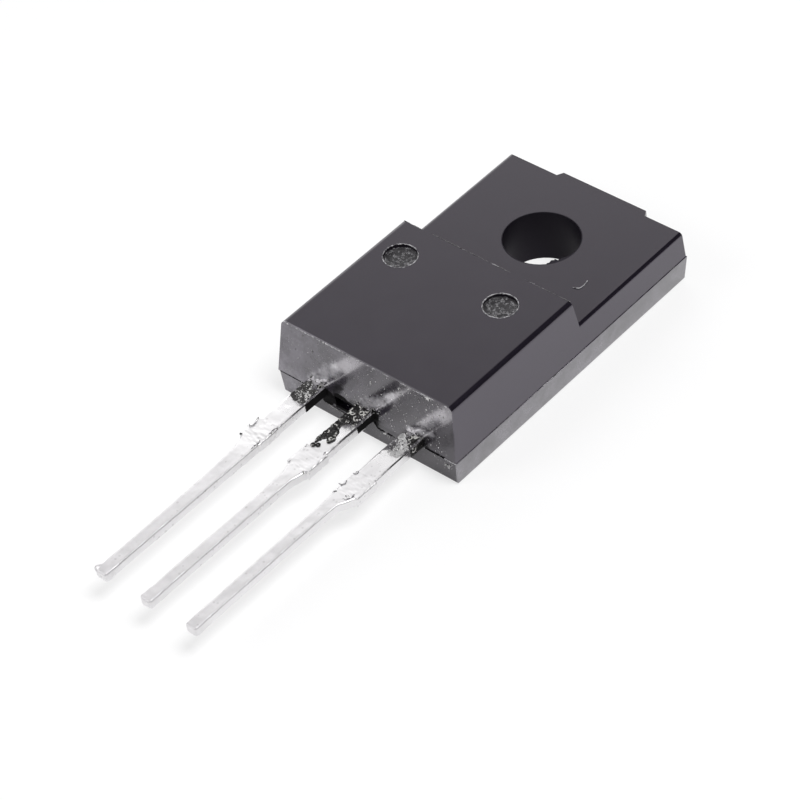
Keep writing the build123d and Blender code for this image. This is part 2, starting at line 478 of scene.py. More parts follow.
# A grey sheen painted on the front face for its brighter reflection: upper half, lower left and lower right,
# fading to the right, in cloudy patches.
sheen_pattern = ramp(tree, noise_node(tree, place, 0.9 * MM, 5.0, 0.6), 0.32, 0.68, 0.25, 1.0)
sheen_left = ramp(tree, x, -4.6 * MM, 2.5 * MM, 1.0, 0.15)
sheen_low_left = product(tree, lower_half, ramp(tree, x, -4.2 * MM, -2.6 * MM, 0.8, 0.0))
sheen_low_right = product(tree, lower_half, ramp(tree, x, 1.5 * MM, 3.5 * MM, 0.0, 0.35))
sheen_place = total(tree, upper_half, sheen_low_left, sheen_low_right)
painted_sheen = product(tree, near_front, sheen_place, sheen_pattern, sheen_left)
# The lower half of the sides is painted lighter, as the reflection of the bright floor below.
painted_low_side_sheen = product(tree, side_face, lower_half, sheen_pattern)
dust_grains = use_group(tree, specks, place, Speck_Size=0.08 * MM, Coverage=0.05)["Mask"]
dusty = product(tree, dust_grains, ramp(tree, front_depth, front_y, front_y + 0.12 * MM, 0.8, 0.02))
smear_grain = ramp(tree, noise_node(tree, place, 0.12 * MM, 4.0, 0.6), 0.35, 0.6, 0.75, 1.0)
painted_reflections = product(tree, near_front, front_smears(pale_reflection_smears), smear_grain)
soot_and_dark_reflection = product(tree, near_front, front_smears(soot_and_dark_reflection_smears))
clear_of_soot_and_dark_reflection = math_node(tree, "SUBTRACT", 1.0, soot_and_dark_reflection)

# %% [markdown]
# Now the finish itself. The colour starts as cloudy black, and each mask blends in its own tone.
# The mould polished some faces a little brighter, which a clear coat gives; soot and the painted dark
# reflections take it away.

# %% Resin: colour and gloss
texture = use_group(tree, grain, place, Pit_Size=0.035 * MM, Cloud_Size=1.4 * MM)
colour = mix_colour(tree, texture["Clouds"], (0.0074, 0.0056, 0.0100), (0.0096, 0.0076, 0.0130))
# Among these tones the front sheen, the lighter lower sides and the pale smears are painted reflections; the
# dark smears are soot with painted dark reflections.
for mask, tone in (
    (product(tree, flat_side, upper_half), (0.019, 0.012, 0.029)),
    (painted_sheen, (0.118, 0.108, 0.132)),
    (painted_low_side_sheen, (0.125, 0.115, 0.140)),
    (dusty, (0.20, 0.20, 0.20)),
    (painted_reflections, (0.43, 0.42, 0.445)),
    (soot_and_dark_reflection, (0.003, 0.0026, 0.003)),
):
    colour = mix_colour(tree, mask, colour, tone)
rough_clouds = ramp(tree, texture["Clouds"], 0.3, 0.7, 0.16, 0.20)
rough_soot_and_dark_reflection = ramp(tree, clear_of_soot_and_dark_reflection, 0.0, 1.0, 0.4, 0.0)
dull = total(tree, rough_clouds, product(tree, painted_sheen, 0.05), product(tree, in_hole, 0.25), rough_soot_and_dark_reflection)
side_polish = product(tree, side_face, by_half(1.0, 0.45))
front_polish = product(tree, near_front, by_half(0.25, 0.65), ramp(tree, x, 2.5 * MM, 4.0 * MM, 1.0, 0.7))
polish = product(tree, math_node(tree, "MAXIMUM", side_polish, front_polish), clear_of_soot_and_dark_reflection)
gloss = product(tree, ramp(tree, in_hole, 0.0, 1.0, 0.5, 0.12), ramp(tree, soot_and_dark_reflection, 0.0, 1.0, 1.0, 0.2))
feed(tree, shader, {"Base Color": colour, "Roughness": dull})
feed(tree, shader, {"Specular IOR Level": gloss, "Coat Weight": polish})
roughen(tree, shader, texture["Height"], 0.3, 0.003 * MM)
print("resin nodes:", len(tree.nodes))

# %% [markdown]
# ## Tin, flux and dust
#
# The leads were dipped in solder: pale tin that turns a little greyer and duller towards the tips,
# where hands and sockets have rubbed it. Burnt flux is a near-black varnish full of pale bubble
# rims, their paleness in part painted highlight, and where it charred completely it is soot, which
# hardly reflects at all; near-black soot also stands as painted shade in gaps and beside the leads.
# Resin flash is the same resin; its grey is painted highlight, for a thin edge that catches light as a grey
# line.

# %% Tin material
tin, tree, shader, place = new_material("tinned_lead", Metallic=1.0)
x, y, z = add(tree, "ShaderNodeSeparateXYZ", {"Vector": place}).outputs
texture = use_group(tree, grain, place, Pit_Size=0.06 * MM, Cloud_Size=0.5 * MM)
stains = use_group(tree, specks, place, Speck_Size=0.16 * MM, Coverage=0.10)["Mask"]
past_shoulder = ramp(tree, y, front_y - 4.3 * MM, front_y - 6.5 * MM, 0.0, 0.72)
towards_tip = ramp(tree, y, front_y - 6.5 * MM, front_y - 11 * MM, 0.0, 0.28)
on_top = ramp(tree, z, lead_top - 0.10 * MM, lead_top - 0.02 * MM)
rubbed = product(tree, total(tree, past_shoulder, towards_tip), on_top)
fresh_tin = mix_colour(tree, texture["Clouds"], (0.79, 0.78, 0.79), (0.90, 0.89, 0.90))
rubbed_tin = mix_colour(tree, texture["Clouds"], (0.61, 0.60, 0.61), (0.77, 0.755, 0.77))
clean = mix_colour(tree, rubbed, fresh_tin, rubbed_tin)
colour = mix_colour(tree, product(tree, stains, 0.25), clean, (0.32, 0.31, 0.31))
from_root = ramp(tree, y, front_y - 1.5 * MM, front_y - 3.0 * MM, 0.0, 0.28)
near_cut = ramp(tree, y, tip_y + 1.2 * MM, tip_y + 0.2 * MM, 0.0, 0.20)
dull = total(tree, ramp(tree, texture["Clouds"], 0.3, 0.7, 0.10, 0.16), from_root, near_cut)
feed(tree, shader, {"Base Color": colour, "Roughness": dull})
roughen(tree, shader, texture["Height"], 0.08, 0.006 * MM)
print("tin nodes:", len(tree.nodes))


# %% Burnt flux, soot and painted shade, ash crumbs, and resin flash with painted highlight
def flux_finish(name, dark, light, rim, rim_share, rim_size, smooth, rough):
    """Burnt varnish with the pale rings of burst bubbles in it, paler in part as painted highlight."""
    material, tree, shader, place = new_material(name, IOR=1.5, Specular_IOR_Level=0.35)
    texture = use_group(tree, grain, place, Pit_Size=0.07 * MM, Cloud_Size=0.35 * MM)
    rims = use_group(tree, rings, place, Ring_Size=rim_size * MM)["Mask"]
    varnish = mix_colour(tree, texture["Clouds"], dark, light)
    colour = mix_colour(tree, product(tree, rims, rim_share), varnish, rim)
    dull = ramp(tree, texture["Clouds"], 0.3, 0.7, smooth, rough)
    feed(tree, shader, {"Base Color": colour, "Roughness": dull})
    roughen(tree, shader, total(tree, texture["Height"], rims), 0.8, 0.02 * MM)
    return material


def powder(name, dark, light, rough):
    """A dull, slightly uneven finish for crumbs, dust and thin flash."""
    material, tree, shader, place = new_material(name, Roughness=rough)
    texture = use_group(tree, grain, place, Pit_Size=0.02 * MM, Cloud_Size=0.15 * MM)
    spread = ramp(tree, texture["Clouds"], 0.35, 0.65)
    feed(tree, shader, {"Base Color": mix_colour(tree, spread, dark, light)})
    roughen(tree, shader, texture["Height"], 0.4, 0.004 * MM)
    return material


# Soot: charred flux, and also painted shade and dark reflections, as near-black strips and films in gaps,
# under the web and beside the leads.
soot_and_painted_shade, tree, shader, place = new_material("soot_and_painted_shade", Roughness=0.85, Specular_IOR_Level=0.12)
texture = use_group(tree, grain, place, Pit_Size=0.03 * MM, Cloud_Size=0.25 * MM)
char = mix_colour(tree, texture["Clouds"], (0.0025, 0.0022, 0.0025), (0.0065, 0.006, 0.0065))
feed(tree, shader, {"Base Color": char})
roughen(tree, shader, texture["Height"], 0.6, 0.01 * MM)

# Dark and light of the varnish, its rims (their paleness partly painted highlight), their share
# and size (mm), least and most roughness.
flux_finishes = {
    "burnt_flux": ((0.003, 0.0028, 0.003), (0.011, 0.010, 0.010), (0.55, 0.54, 0.52), 1.0, 0.26, 0.10, 0.35),
    "flux_foam": ((0.006, 0.006, 0.006), (0.06, 0.059, 0.058), (0.66, 0.655, 0.65), 1.0, 0.17, 0.15, 0.4),
    "ash_cake": ((0.10, 0.098, 0.10), (0.52, 0.515, 0.52), (0.78, 0.775, 0.78), 0.8, 0.13, 0.5, 0.7),
    "broken_resin": ((0.006, 0.005, 0.007), (0.05, 0.048, 0.052), (0.34, 0.335, 0.35), 0.8, 0.10, 0.3, 0.6),
}
flux, foam, ash_cake, broken_resin = (flux_finish(name, *values) for name, values in flux_finishes.items())

ash_crumbs = powder("ash_crumbs", (0.10, 0.098, 0.096), (0.46, 0.455, 0.45), 0.7)
dust = powder("pale_dust", (0.30, 0.30, 0.30), (0.80, 0.79, 0.79), 0.8)
# Flash is paler than the resin as painted highlight where its thin edge catches light; the paler of the two
# finishes is for the brightest lines and rims.
flash_resin = powder("flash_resin", (0.02, 0.019, 0.021), (0.14, 0.135, 0.14), 0.45)
flash_with_painted_highlight = powder("flash_with_painted_highlight", (0.08, 0.078, 0.085), (0.48, 0.47, 0.49), 0.5)
bare_chip = powder("silicon_chip", (0.08, 0.08, 0.09), (0.12, 0.12, 0.14), 0.25)
soft_solder = powder("die_solder", (0.42, 0.42, 0.42), (0.55, 0.55, 0.54), 0.35)
bond_wire = powder("aluminium_wire", (0.68, 0.68, 0.69), (0.80, 0.80, 0.81), 0.3)

# %% [markdown]
# ## The moulded body
#
# The CAD mesh arrives as loose triangles. We copy it, weld it, and dissolve the flat triangles into
# whole faces. A real mould never leaves a knife edge, so a Bevel modifier rounds the outer edges by
# a few hundredths of a millimetre. The pockets that hold the lead frame must stay tight, and the
# parting line is sharp, so only chosen edges get a bevel weight.

# %% Body
weld_distance = 0.0001 * MM
touching = 0.002 * MM
flat_bend, sharp_bend = radians(0.5), radians(28)
parting_reach = 0.06 * MM
edge_round = 0.045 * MM


def welded_copy(node, name):
    """A copy of a frame node as a bmesh, welded and with flat areas dissolved, and a mesh for it."""
    bm = bmesh.new()
    bm.from_mesh(frame["nodes"][node].data)
    bmesh.ops.remove_doubles(bm, verts=bm.verts, dist=weld_distance)
    bmesh.ops.dissolve_limit(bm, angle_limit=flat_bend, verts=bm.verts, edges=bm.edges)
    return bm, bpy.data.meshes.new(name)


def search_tree(mesh):
    """A tree that finds the nearest place on a mesh."""
    return BVHTree.FromPolygons([v.co for v in mesh.vertices], [p.vertices for p in mesh.polygons])


inserts = [search_tree(obj.data) for node, obj in frame["nodes"].items() if node != "moulded_body"]


def in_pocket(face):
    """True for a face of the resin that touches a piece inside it."""
    centre = face.calc_center_median()
    return any(surface.find_nearest(centre, touching)[0] is not None for surface in inserts)


bm, mesh = welded_copy("moulded_body", "resin_body")
weight = bm.edges.layers.float.new("bevel_weight_edge")
pocket = {face for face in bm.faces if in_pocket(face)}
rounded = 0
for edge in bm.edges:
    if len(edge.link_faces) != 2 or pocket & set(edge.link_faces):
        continue
    middle = (edge.verts[0].co + edge.verts[1].co) / 2
    at_parting = abs(middle.z - parting) < parting_reach
    if edge.calc_face_angle() > sharp_bend and not at_parting:
        edge[weight] = 1.0
        rounded += 1
bm.to_mesh(mesh)
bm.free()
resin_body = bpy.data.objects.new("resin_body", mesh)
bpy.context.scene.collection.objects.link(resin_body)
shade(resin_body, 35)
bevel = resin_body.modifiers.new("soft edges", "BEVEL")
bevel.limit_method = "WEIGHT"
bevel.width = edge_round
bevel.segments = 3
weighted = resin_body.modifiers.new("flat faces stay flat", "WEIGHTED_NORMAL")
weighted.weight = 100
weighted.keep_sharp = True
settle(resin_body)
dress(resin_body, resin)
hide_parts("moulded_body")
print("rounded edges:", rounded, "pocket faces:", len(pocket))

# %% [markdown]
# ## The leads
#
# Each lead is a strip whose outline follows a rule: wide near the body, a shoulder, then narrow to
# the tip, with two stubs where the dam bar was cut away. We sweep a rounded rectangle along it and
# let every point float a few hundredths of a millimetre on smooth noise, like solder that froze
# while it ran. Where the lead enters the resin it carries on as the stamped CAD piece.

# %% Lead outline
wide_length = 4.35
shoulder_length = 0.7
narrow_half = 0.28
spare_width = 0.44
stub_from, stub_to = 3.1, 4.35
stub_out = {-1: (0.13, 0.04), 0: (0.12, 0.10), 1: (0.05, 0.08)}


def lead_edges(side, s):
    """Left and right edge of a lead, in mm from its centre line, s mm in front of the body."""
    taper = 1 - min(1.0, max(0.0, (s - wide_length) / shoulder_length))
    left = -narrow_half - spare_width * (1 - side) / 2 * taper
    right = narrow_half + spare_width * (1 + side) / 2 * taper
    if stub_from < s < stub_to:
        left, right = left - stub_out[side][0], right + stub_out[side][1]
    return left, right


def section_recipe(across, up, corner):
    """Points round a rounded rectangle as (share of half width, share of half height, angle)."""
    points = []
    corners = [(-1, 1), (1, 1), (1, -1), (-1, -1), (-1, 1)]
    for side, count in enumerate((across, up, across, up)):
        (u, w), (next_u, next_w) = corners[side], corners[side + 1]
        angle = pi / 2 - side * pi / 2
        for i in range(count):
            points.append((u + (next_u - u) * i / count, w + (next_w - w) * i / count, angle))
        for i in range(corner):
            points.append((next_u, next_w, angle - pi / 2 * i / corner))
    return points


def strip_mesh(name, side, stations, recipe, skin, corner_radius, extra_edge=None):
    """Sweep the recipe along a lead; skin(s, x, angle, point) is the height above the bare metal in mm."""
    centre_x = side * lead_pitch / MM
    mid_z = (parting + lead_top) / 2 / MM
    half_z = (lead_top - parting) / 2 / MM
    vertices, faces = [], []
    for s, shrink in stations:
        left, right = lead_edges(side, s)
        if extra_edge:
            add_left, add_right = extra_edge(s)
            left, right = left - add_left, right + add_right
        cx, a = (left + right) / 2, (right - left) / 2 * shrink
        b = half_z * shrink
        r = min(corner_radius, a * 0.9, b * 0.9)
        for u, w, angle in recipe:
            x = cx + u * (a - r) + r * cos(angle)
            z = mid_z + w * (b - r) + r * sin(angle)
            bare = (centre_x + x, front_y / MM - s, z)
            h = skin(s, x, angle, bare)
            raised = (bare[0] + h * cos(angle), bare[1], bare[2] + h * sin(angle))
            vertices.append(tuple(v * MM for v in raised))
    n = len(recipe)
    for k in range(len(stations) - 1):
        for i in range(n):
            j = (i + 1) % n
            faces.append((k * n + i, k * n + j, (k + 1) * n + j, (k + 1) * n + i))
    faces.append(tuple(range(n)))
    faces.append(tuple(reversed(range((len(stations) - 1) * n, len(stations) * n))))
    return turn_faces_out(make_object(name, vertices, faces))


# %% [markdown]
# A lead's skin of tin is a function of the place on it: slow runs, small dimples, rough stubs, and a
# lumpy tip. Past the shoulder, solder fills the corner too, which makes the outline wider there.

# %% Tin on the leads
def lead_stations(step=0.055, overhang=0.05, rounding=0.14):
    """Distances along a lead in mm, and how much the section shrinks at the rounded tip."""
    end = lead_length / MM + overhang
    plain = list(np.arange(-0.3, end - rounding, step))
    sharp = [stub_from - 0.012, stub_from + 0.012, stub_to - 0.012, stub_to + 0.012]
    stations = [(s, 1.0) for s in sorted(plain + sharp)]
    for t in np.linspace(0.1, 1.0, 8):
        turn = t * pi / 2
        stations.append((end - rounding + rounding * sin(turn), max(0.12, 1 - 0.55 * (1 - cos(turn)))))
    return stations


def tin_skin(seed, torn=0.0):
    """How high the tin stands on a lead, in mm."""
    def height(s, x, angle, point):
        outside = smooth_step(-0.02, 0.1, s)
        runs = 0.020 * wobble(point, 1.3, seed) + 0.010 * wobble(point, 0.45, seed + 5)
        dimples = 0.004 * wobble(point, 0.15, seed + 9)
        stub = 0.022 * wobble(point, 0.12, seed + 2) * (1 if stub_from - 0.1 < s < stub_to + 0.15 else 0)
        near_tip = smooth_step(12.6, 13.6, s)
        tip = near_tip * (0.008 + 0.028 * wobble(point, 0.3, seed + 3))
        torn_side = max(0.0, -cos(angle)) * smooth_step(-0.3, 0.5, sin(angle))
        tip += torn * smooth_step(13.35, 13.75, s) * torn_side
        return outside * (0.014 + runs + dimples + stub + tip)
    return height


def solder_web(side):
    """Extra width of solder past a lead's shoulder, on its left and right, as a function of s."""
    left, right, reach = {-1: (0.26, 0.0, 3.2), 0: (0.06, 0.10, 0.9), 1: (0.0, 0.16, 0.8)}[side]

    def extra(s):
        if s < wide_length:
            return 0.0, 0.0
        share = exp(-(s - wide_length) / reach) * smooth_step(wide_length, wide_length + shoulder_length, s)
        return left * share, right * share

    return extra


# %% [markdown]
# The inner end of each lead is hidden in resin, but a part that is cut open in software should still
# show it. So we slice the CAD copy just behind the front face and join both halves in one object.

# %% Build the three leads
section = section_recipe(across=10, up=5, corner=5)
joint_y = front_y + 0.2 * MM


def inner_end(node):
    """The stretch of a stamped CAD piece that lies in the resin, closed where it was cut."""
    bm, mesh = welded_copy(node, node + "_inner")
    everything = bm.verts[:] + bm.edges[:] + bm.faces[:]
    cut = dict(plane_co=(0, joint_y, 0), plane_no=(0, -1, 0), clear_outer=True)
    bmesh.ops.bisect_plane(bm, geom=everything, **cut)
    rim = [edge for edge in bm.edges if edge.is_boundary]
    bmesh.ops.holes_fill(bm, edges=rim, sides=0)
    bm.to_mesh(mesh)
    bm.free()
    return mesh


def make_lead(name, node, side, seed, torn=0.0):
    """One tinned lead: the swept outer strip and the stamped inner end."""
    obj = strip_mesh(name, side, lead_stations(), section, tin_skin(seed, torn), 0.06, solder_web(side))
    bm = bmesh.new()
    bm.from_mesh(obj.data)
    bm.from_mesh(inner_end(node))
    bm.to_mesh(obj.data)
    bm.free()
    shade(obj, 42)
    dress(obj, tin)
    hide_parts(node)


make_lead("gate_lead_tinned", "gate_lead", -1, 3.0, torn=0.14)
make_lead("centre_lead_tinned", "die_pad_centre_lead", 0, 11.0)
make_lead("source_lead_tinned", "source_lead", 1, 23.0)

# %% [markdown]
# ## Burnt flux on the lead roots
#
# Flux boiled on the leads and froze as a lumpy crust, heaviest on the middle one. A crust that hugs
# its lead is easiest to get from the lead's own sweep: we make a second, finer strip and let it rise
# above the metal only where a sum of soft blobs says so. Elsewhere it dips under the tin, out of
# sight, so its border is as ragged as the blobs and the noise make it. Flux that ran down the
# right-hand side of a lead is a strip of its own; on the gate and middle leads that near-black strip
# is also painted shade on the lead's shaded side.

# %% Crust
# Flux down the right-hand side, on the gate and middle leads also painted shade: how far it reaches,
# its strength, and its lowest place (mm).
side_run = {-1: (1.34, 1.3, 1.2), 0: (1.10, 1.2, 1.43), 1: (0.85, 0.8, 1.2)}
sunk = -0.04


def bubbles(point, size):
    """Domes packed side by side, 1 at their tops and 0 in the creases between them."""
    distances, _ = noise.voronoi(Vector(point) / size)
    return max(0.0, 1 - (distances[0] / 0.62) ** 2)


def top_field(side, s, x, angle, ragged, blobs):
    """How much flux lies on top of a lead; its right edge stays bare."""
    bare_edge = smooth_step(0.09, 0.15, lead_edges(side, s)[1] - x)
    return (blob_field(blobs, s, x) * smooth_step(0.2, 0.6, sin(angle)) + ragged) * bare_edge


def side_field(side, s, z, angle, ragged):
    """How much flux hangs on the right-hand side of a lead; on two leads it is also painted shade."""
    reach, strength, lowest = side_run[side]
    end = smooth_step(reach + 0.05, reach - 0.05, s + 0.2 * ragged) * smooth_step(0.6, 0.8, cos(angle))
    return strength * end * smooth_step(lowest - 0.05, lowest + 0.05, z) + 0.3 * ragged * end


def crust_skin(side, seed, thickness, blobs):
    """Height of a crust in mm: above the tin where flux lies, below it elsewhere."""
    cover = 0.052 if blobs else 0.078

    def height(s, x, angle, point):
        ragged = 0.20 * wobble(point, 0.30, seed) + 0.14 * wobble(point, 0.11, seed + 4)
        if blobs:
            field = top_field(side, s, x, angle, ragged, blobs)
        else:
            field = side_field(side, s, point[2], angle, ragged)
        domes = bubbles(point, 0.15) * 0.6 + bubbles(point, 0.07) * 0.3 + 0.15 * wobble(point, 0.3, seed + 7)
        foamy = thickness * max(0.0, domes) * max(0.0, sin(angle))
        return sunk + smooth_step(0.42, 0.80, field) * (cover + foamy)

    return height


def make_crust(name, side, seed, thickness, reach, material, blobs=()):
    """A closed crust round the root of one lead: on top where it has blobs, else on the right side."""
    stations = [(s, 1.0) for s in np.arange(0.0, reach, 0.022)]
    recipe = section_recipe(across=44, up=14, corner=5)
    obj = strip_mesh(name, side, stations, recipe, crust_skin(side, seed, thickness, blobs), 0.07)
    shade(obj, 70)
    dress(obj, material)


# Each blob: distance from the body, place across the lead, half length, half width (mm), strength.
black_blobs = {
    -1: [(0.10, 0.10, 0.20, 0.32, 1.0), (0.30, -0.55, 0.22, 0.14, 0.9)],
    0: [
        (0.25, 0.00, 0.55, 0.90, 1.6),
        (0.85, 0.12, 0.34, 0.60, 1.4),
        (1.40, -0.34, 0.60, 0.26, 1.6),
        (2.00, -0.16, 0.36, 0.36, 1.4),
        (2.32, 0.14, 0.18, 0.18, 1.1),
        (2.50, -0.38, 0.42, 0.16, 1.4),
    ],
    1: [(0.15, 0.45, 0.30, 0.34, 1.4), (0.48, 0.62, 0.26, 0.20, 1.2), (1.10, -0.20, 0.18, 0.10, 0.7)],
}
make_crust("gate_lead_flux", -1, 31.0, 0.03, 1.0, flux, black_blobs[-1])
# The near-black side strips on the gate and middle leads are soot, and also painted shade on the lead's
# shaded side.
make_crust("gate_lead_soot_and_shade", -1, 32.0, 0.0, 1.5, soot_and_painted_shade)
make_crust("centre_lead_flux", 0, 37.0, 0.085, 3.1, flux, black_blobs[0])
make_crust("centre_lead_soot_and_shade", 0, 38.0, 0.0, 1.3, soot_and_painted_shade)
make_crust("source_lead_flux", 1, 43.0, 0.05, 1.5, flux, black_blobs[1])
make_crust("source_lead_soot", 1, 44.0, 0.0, 1.1, flux)

# %% [markdown]
# On the outer leads the foam is greyer: ash baked into bubbles, lying on bright metal. It is the
# same sweep again with other blobs and a paler finish.

# %% Grey foam on the outer leads
grey_blobs = {
    -1: [
        (0.50, -0.50, 0.48, 0.28, 1.6),
        (1.00, -0.38, 0.34, 0.46, 1.6),
        (1.24, 0.02, 0.18, 0.36, 1.2),
        (0.80, -0.10, 0.26, 0.22, 0.9),
        (0.60, 0.20, 0.38, 0.28, 1.3),
    ],
    1: [
        (0.35, -0.12, 0.26, 0.17, 1.2),
        (0.65, 0.15, 0.26, 0.22, 1.4),
        (0.98, 0.42, 0.32, 0.30, 1.5),
        (1.28, 0.40, 0.26, 0.34, 1.4),
        (1.42, 0.15, 0.16, 0.20, 1.0),
    ],
}
make_crust("gate_lead_foam", -1, 61.0, 0.05, 1.6, foam, grey_blobs[-1])
make_crust("source_lead_ash_cake", 1, 67.0, 0.06, 1.9, ash_cake, grey_blobs[1])

# %% [markdown]
# ## Resin flash, made with Geometry Nodes
#
# Where two mould halves or a mould pin meet, a thread of resin squeezes out and breaks off in
# places. It always follows an edge, so one Geometry Nodes tree can draw all of it: take a polyline,
# resample it finely, shake its points a little, give it a radius that comes and goes with noise, and
# sweep a tiny five-sided profile along it.

# %% Flash tree
flash_tree, given, out = new_group(
    "resin_flash_along_edge",
    "Geometry",
    {
        "Geometry": "Geometry",
        "Thickness": 0.02 * MM,
        "Patch": 0.5 * MM,
        "Gaps": 0.4,
        "Shake": 0.02 * MM,
        "Seed": 0.0,
    },
    {"Geometry": "Geometry"},
)
position = add(flash_tree, "GeometryNodeInputPosition")


def seeded_noise(scale, detail):
    """Noise at each point of the line, another for each seed."""
    feeds = {"Vector": position, "Scale": scale, "Detail": detail, "W": given["Seed"]}
    return add(flash_tree, "ShaderNodeTexNoise", feeds, noise_dimensions="4D").outputs


patches = seeded_noise(per_size(flash_tree, given["Patch"]), 2.0)
fine = seeded_noise(1 / (0.09 * MM), 1.0)
gap_top = total(flash_tree, given["Gaps"], 0.12)
fade = {"Value": patches["Fac"], "From Min": given["Gaps"], "From Max": gap_top}
present = add(flash_tree, "ShaderNodeMapRange", fade).outputs["Result"]
radius = product(flash_tree, present, total(flash_tree, fine["Fac"], 0.3), given["Thickness"])
centred = vector_node(flash_tree, "SUBTRACT", fine["Color"], (0.5, 0.5, 0.5))
shaken = vector_node(flash_tree, "SCALE", centred, Scale=given["Shake"])
line = add(flash_tree, "GeometryNodeMeshToCurve", {"Mesh": given["Geometry"]})
line = add(flash_tree, "GeometryNodeResampleCurve", {"Curve": line, "Length": 0.04 * MM}, mode="LENGTH")
line = add(flash_tree, "GeometryNodeSetPosition", {"Geometry": line, "Offset": shaken})
profile = add(flash_tree, "GeometryNodeCurvePrimitiveCircle", {"Resolution": 5, "Radius": 1.0})
swept = {"Curve": line, "Profile Curve": profile, "Scale": radius, "Fill Caps": True}
tube = add(flash_tree, "GeometryNodeCurveToMesh", swept)
feed(flash_tree, out, {"Geometry": add(flash_tree, "GeometryNodeSetShadeSmooth", {"Geometry": tube})})


def run_tree(obj, tree, **values):
    """Run a Geometry Nodes tree on an object with named values and keep the plain mesh."""
    modifier = obj.modifiers.new(tree.name, "NODES")
    modifier.node_group = tree
    for item in tree.interface.items_tree:
        if item.name in values:
            modifier[item.identifier] = values[item.name]
    return settle(obj)


def add_flash(name, line, material, thick, patch, gaps, shake, seed, slot="moulding_resin", closed=False):
    """Flash along a line, as a piece of its own; sizes are in mm, and its slot is not used."""
    count = len(line)
    edges = [(i, i + 1) for i in range(count - 1)] + ([(count - 1, 0)] if closed else [])
    obj = make_object(name, line, [], edges)
    run_tree(obj, flash_tree, Thickness=thick * MM, Patch=patch * MM, Gaps=gaps, Shake=shake * MM, Seed=seed)
    dress(obj, material)


# %% [markdown]
# The parting line, the edge of the step and the upper front edge get flash of resin, paler than the
# resin as painted highlight. Along the parting line and along the broken web between two leads, the
# same tree draws a near-black line as painted shadow where the edge above shades the gap. A burr
# stands round each pin mark.

# %% Flash on the body
def on_front(x, z, out=0.0):
    """A point of the front face, from mm, with an optional stand-off in mm."""
    return Vector((x * MM, front_surface_y(z * MM) - out * MM, z * MM))


def parting_point(x, above=0.0):
    """A point at the front of the body, on the parting line or a little above it, in metres."""
    return Vector((x, front_y, parting + above))


left_back = Vector((-body_half, tab_end_y, parting))
right_back = Vector((body_half, tab_end_y, parting))
left_front = parting_point(-body_half)
right_front = parting_point(body_half)
shade_line_left = [left_front + Vector((0.05 * MM, 0, 0)), parting_point(-3.15 * MM)]
shade_line_right = [parting_point(3.40 * MM, 0.03 * MM), parting_point(4.45 * MM, 0.03 * MM)]
web_places = [(0.60, 1.25), (0.63, 1.09), (0.70, 1.02), (0.85, 1.00), (1.85, 1.00)]
web_line = [Vector((x * MM, front_y, z * MM)) for x, z in web_places]
step_half = body_half - (body_top - parting) * tan(side_draft) - 0.1 * MM
step_edge = [Vector((x, step_top_y, body_top)) for x in (-step_half, step_half)]
front_edge = [on_front(-4.7, 4.185, 0.01), on_front(4.55, 4.185, 0.01)]

# Each line: its places, its finish, then thickness, size of its patches (mm), gaps, shake (mm), seed.
flash_lines = {
    "parting_flash_left": ([left_back, left_front], flash_resin, 0.024, 0.6, 0.44, 0.03, 1.0),
    "parting_flash_right": ([right_front, right_back], flash_resin, 0.024, 0.6, 0.46, 0.03, 1.0),
    "parting_flash_front": ([parting_point(3.35 * MM), right_front], flash_with_painted_highlight, 0.036, 0.6, 0.36, 0.03, 2.0),
    # The parting soot lines and the web soot line are painted shadow: a near-black line where the edge above
    # shades the gap.
    "parting_shadow_left": (shade_line_left, soot_and_painted_shade, 0.030, 0.3, 0.36, 0.02, 3.0),
    "parting_shadow_right": (shade_line_right, soot_and_painted_shade, 0.055, 0.3, 0.30, 0.02, 5.0),
    "web_shadow_line": (web_line, soot_and_painted_shade, 0.040, 0.2, 0.42, 0.02, 12.0),
    "step_edge_flash": (step_edge, flash_resin, 0.022, 0.9, 0.40, 0.05, 4.0),
    "step_edge_bits": (step_edge, flash_with_painted_highlight, 0.022, 0.9, 0.56, 0.05, 9.0),
    "front_edge_flash": (front_edge, flash_with_painted_highlight, 0.036, 0.25, 0.43, 0.05, 6.0),
}
for name, values in flash_lines.items():
    add_flash(name, *values)


def circle_points(centre, radius, count=96):
    """Places round a level circle."""
    angles = [2 * pi * i / count for i in range(count)]
    return [centre + Vector((cos(angle), sin(angle), 0)) * radius for angle in angles]


for number, (centre, gaps) in enumerate(zip(pin_marks, (0.36, 0.30))):
    rim = circle_points(centre, pin_mark_radius)
    name = f"pin_mark_burr_{number + 1}"
    add_flash(name, rim, flash_with_painted_highlight, 0.034, 0.35, gaps, 0.05, 7.0 + number, closed=True)

# %% A pale thread with painted highlight, a painted shadow line, and a curl of resin on the tab
# The pale ash thread below the dark notch is painted lighter, as the highlight on the lit lip there; the
# near-black line under the web is painted shadow in the gap.
lit_thread_places = [(-2.36, 0.81), (-1.97, 0.73), (-1.55, 0.66), (-1.19, 0.64)]
shadow_line_places = [(0.38, 1.34), (0.60, 1.02), (1.10, 0.99), (1.80, 1.04), (2.15, 1.38)]
curl_start = Vector((3.20, -1.84, 2.765)) * MM
curl_end = Vector((3.47, -1.12, 2.765)) * MM
curl_bulge = Vector((0.17, -0.18, 0.0)) * MM
curl = [curl_start.lerp(curl_end, i / 12) + curl_bulge * sin(pi * i / 12) for i in range(13)]
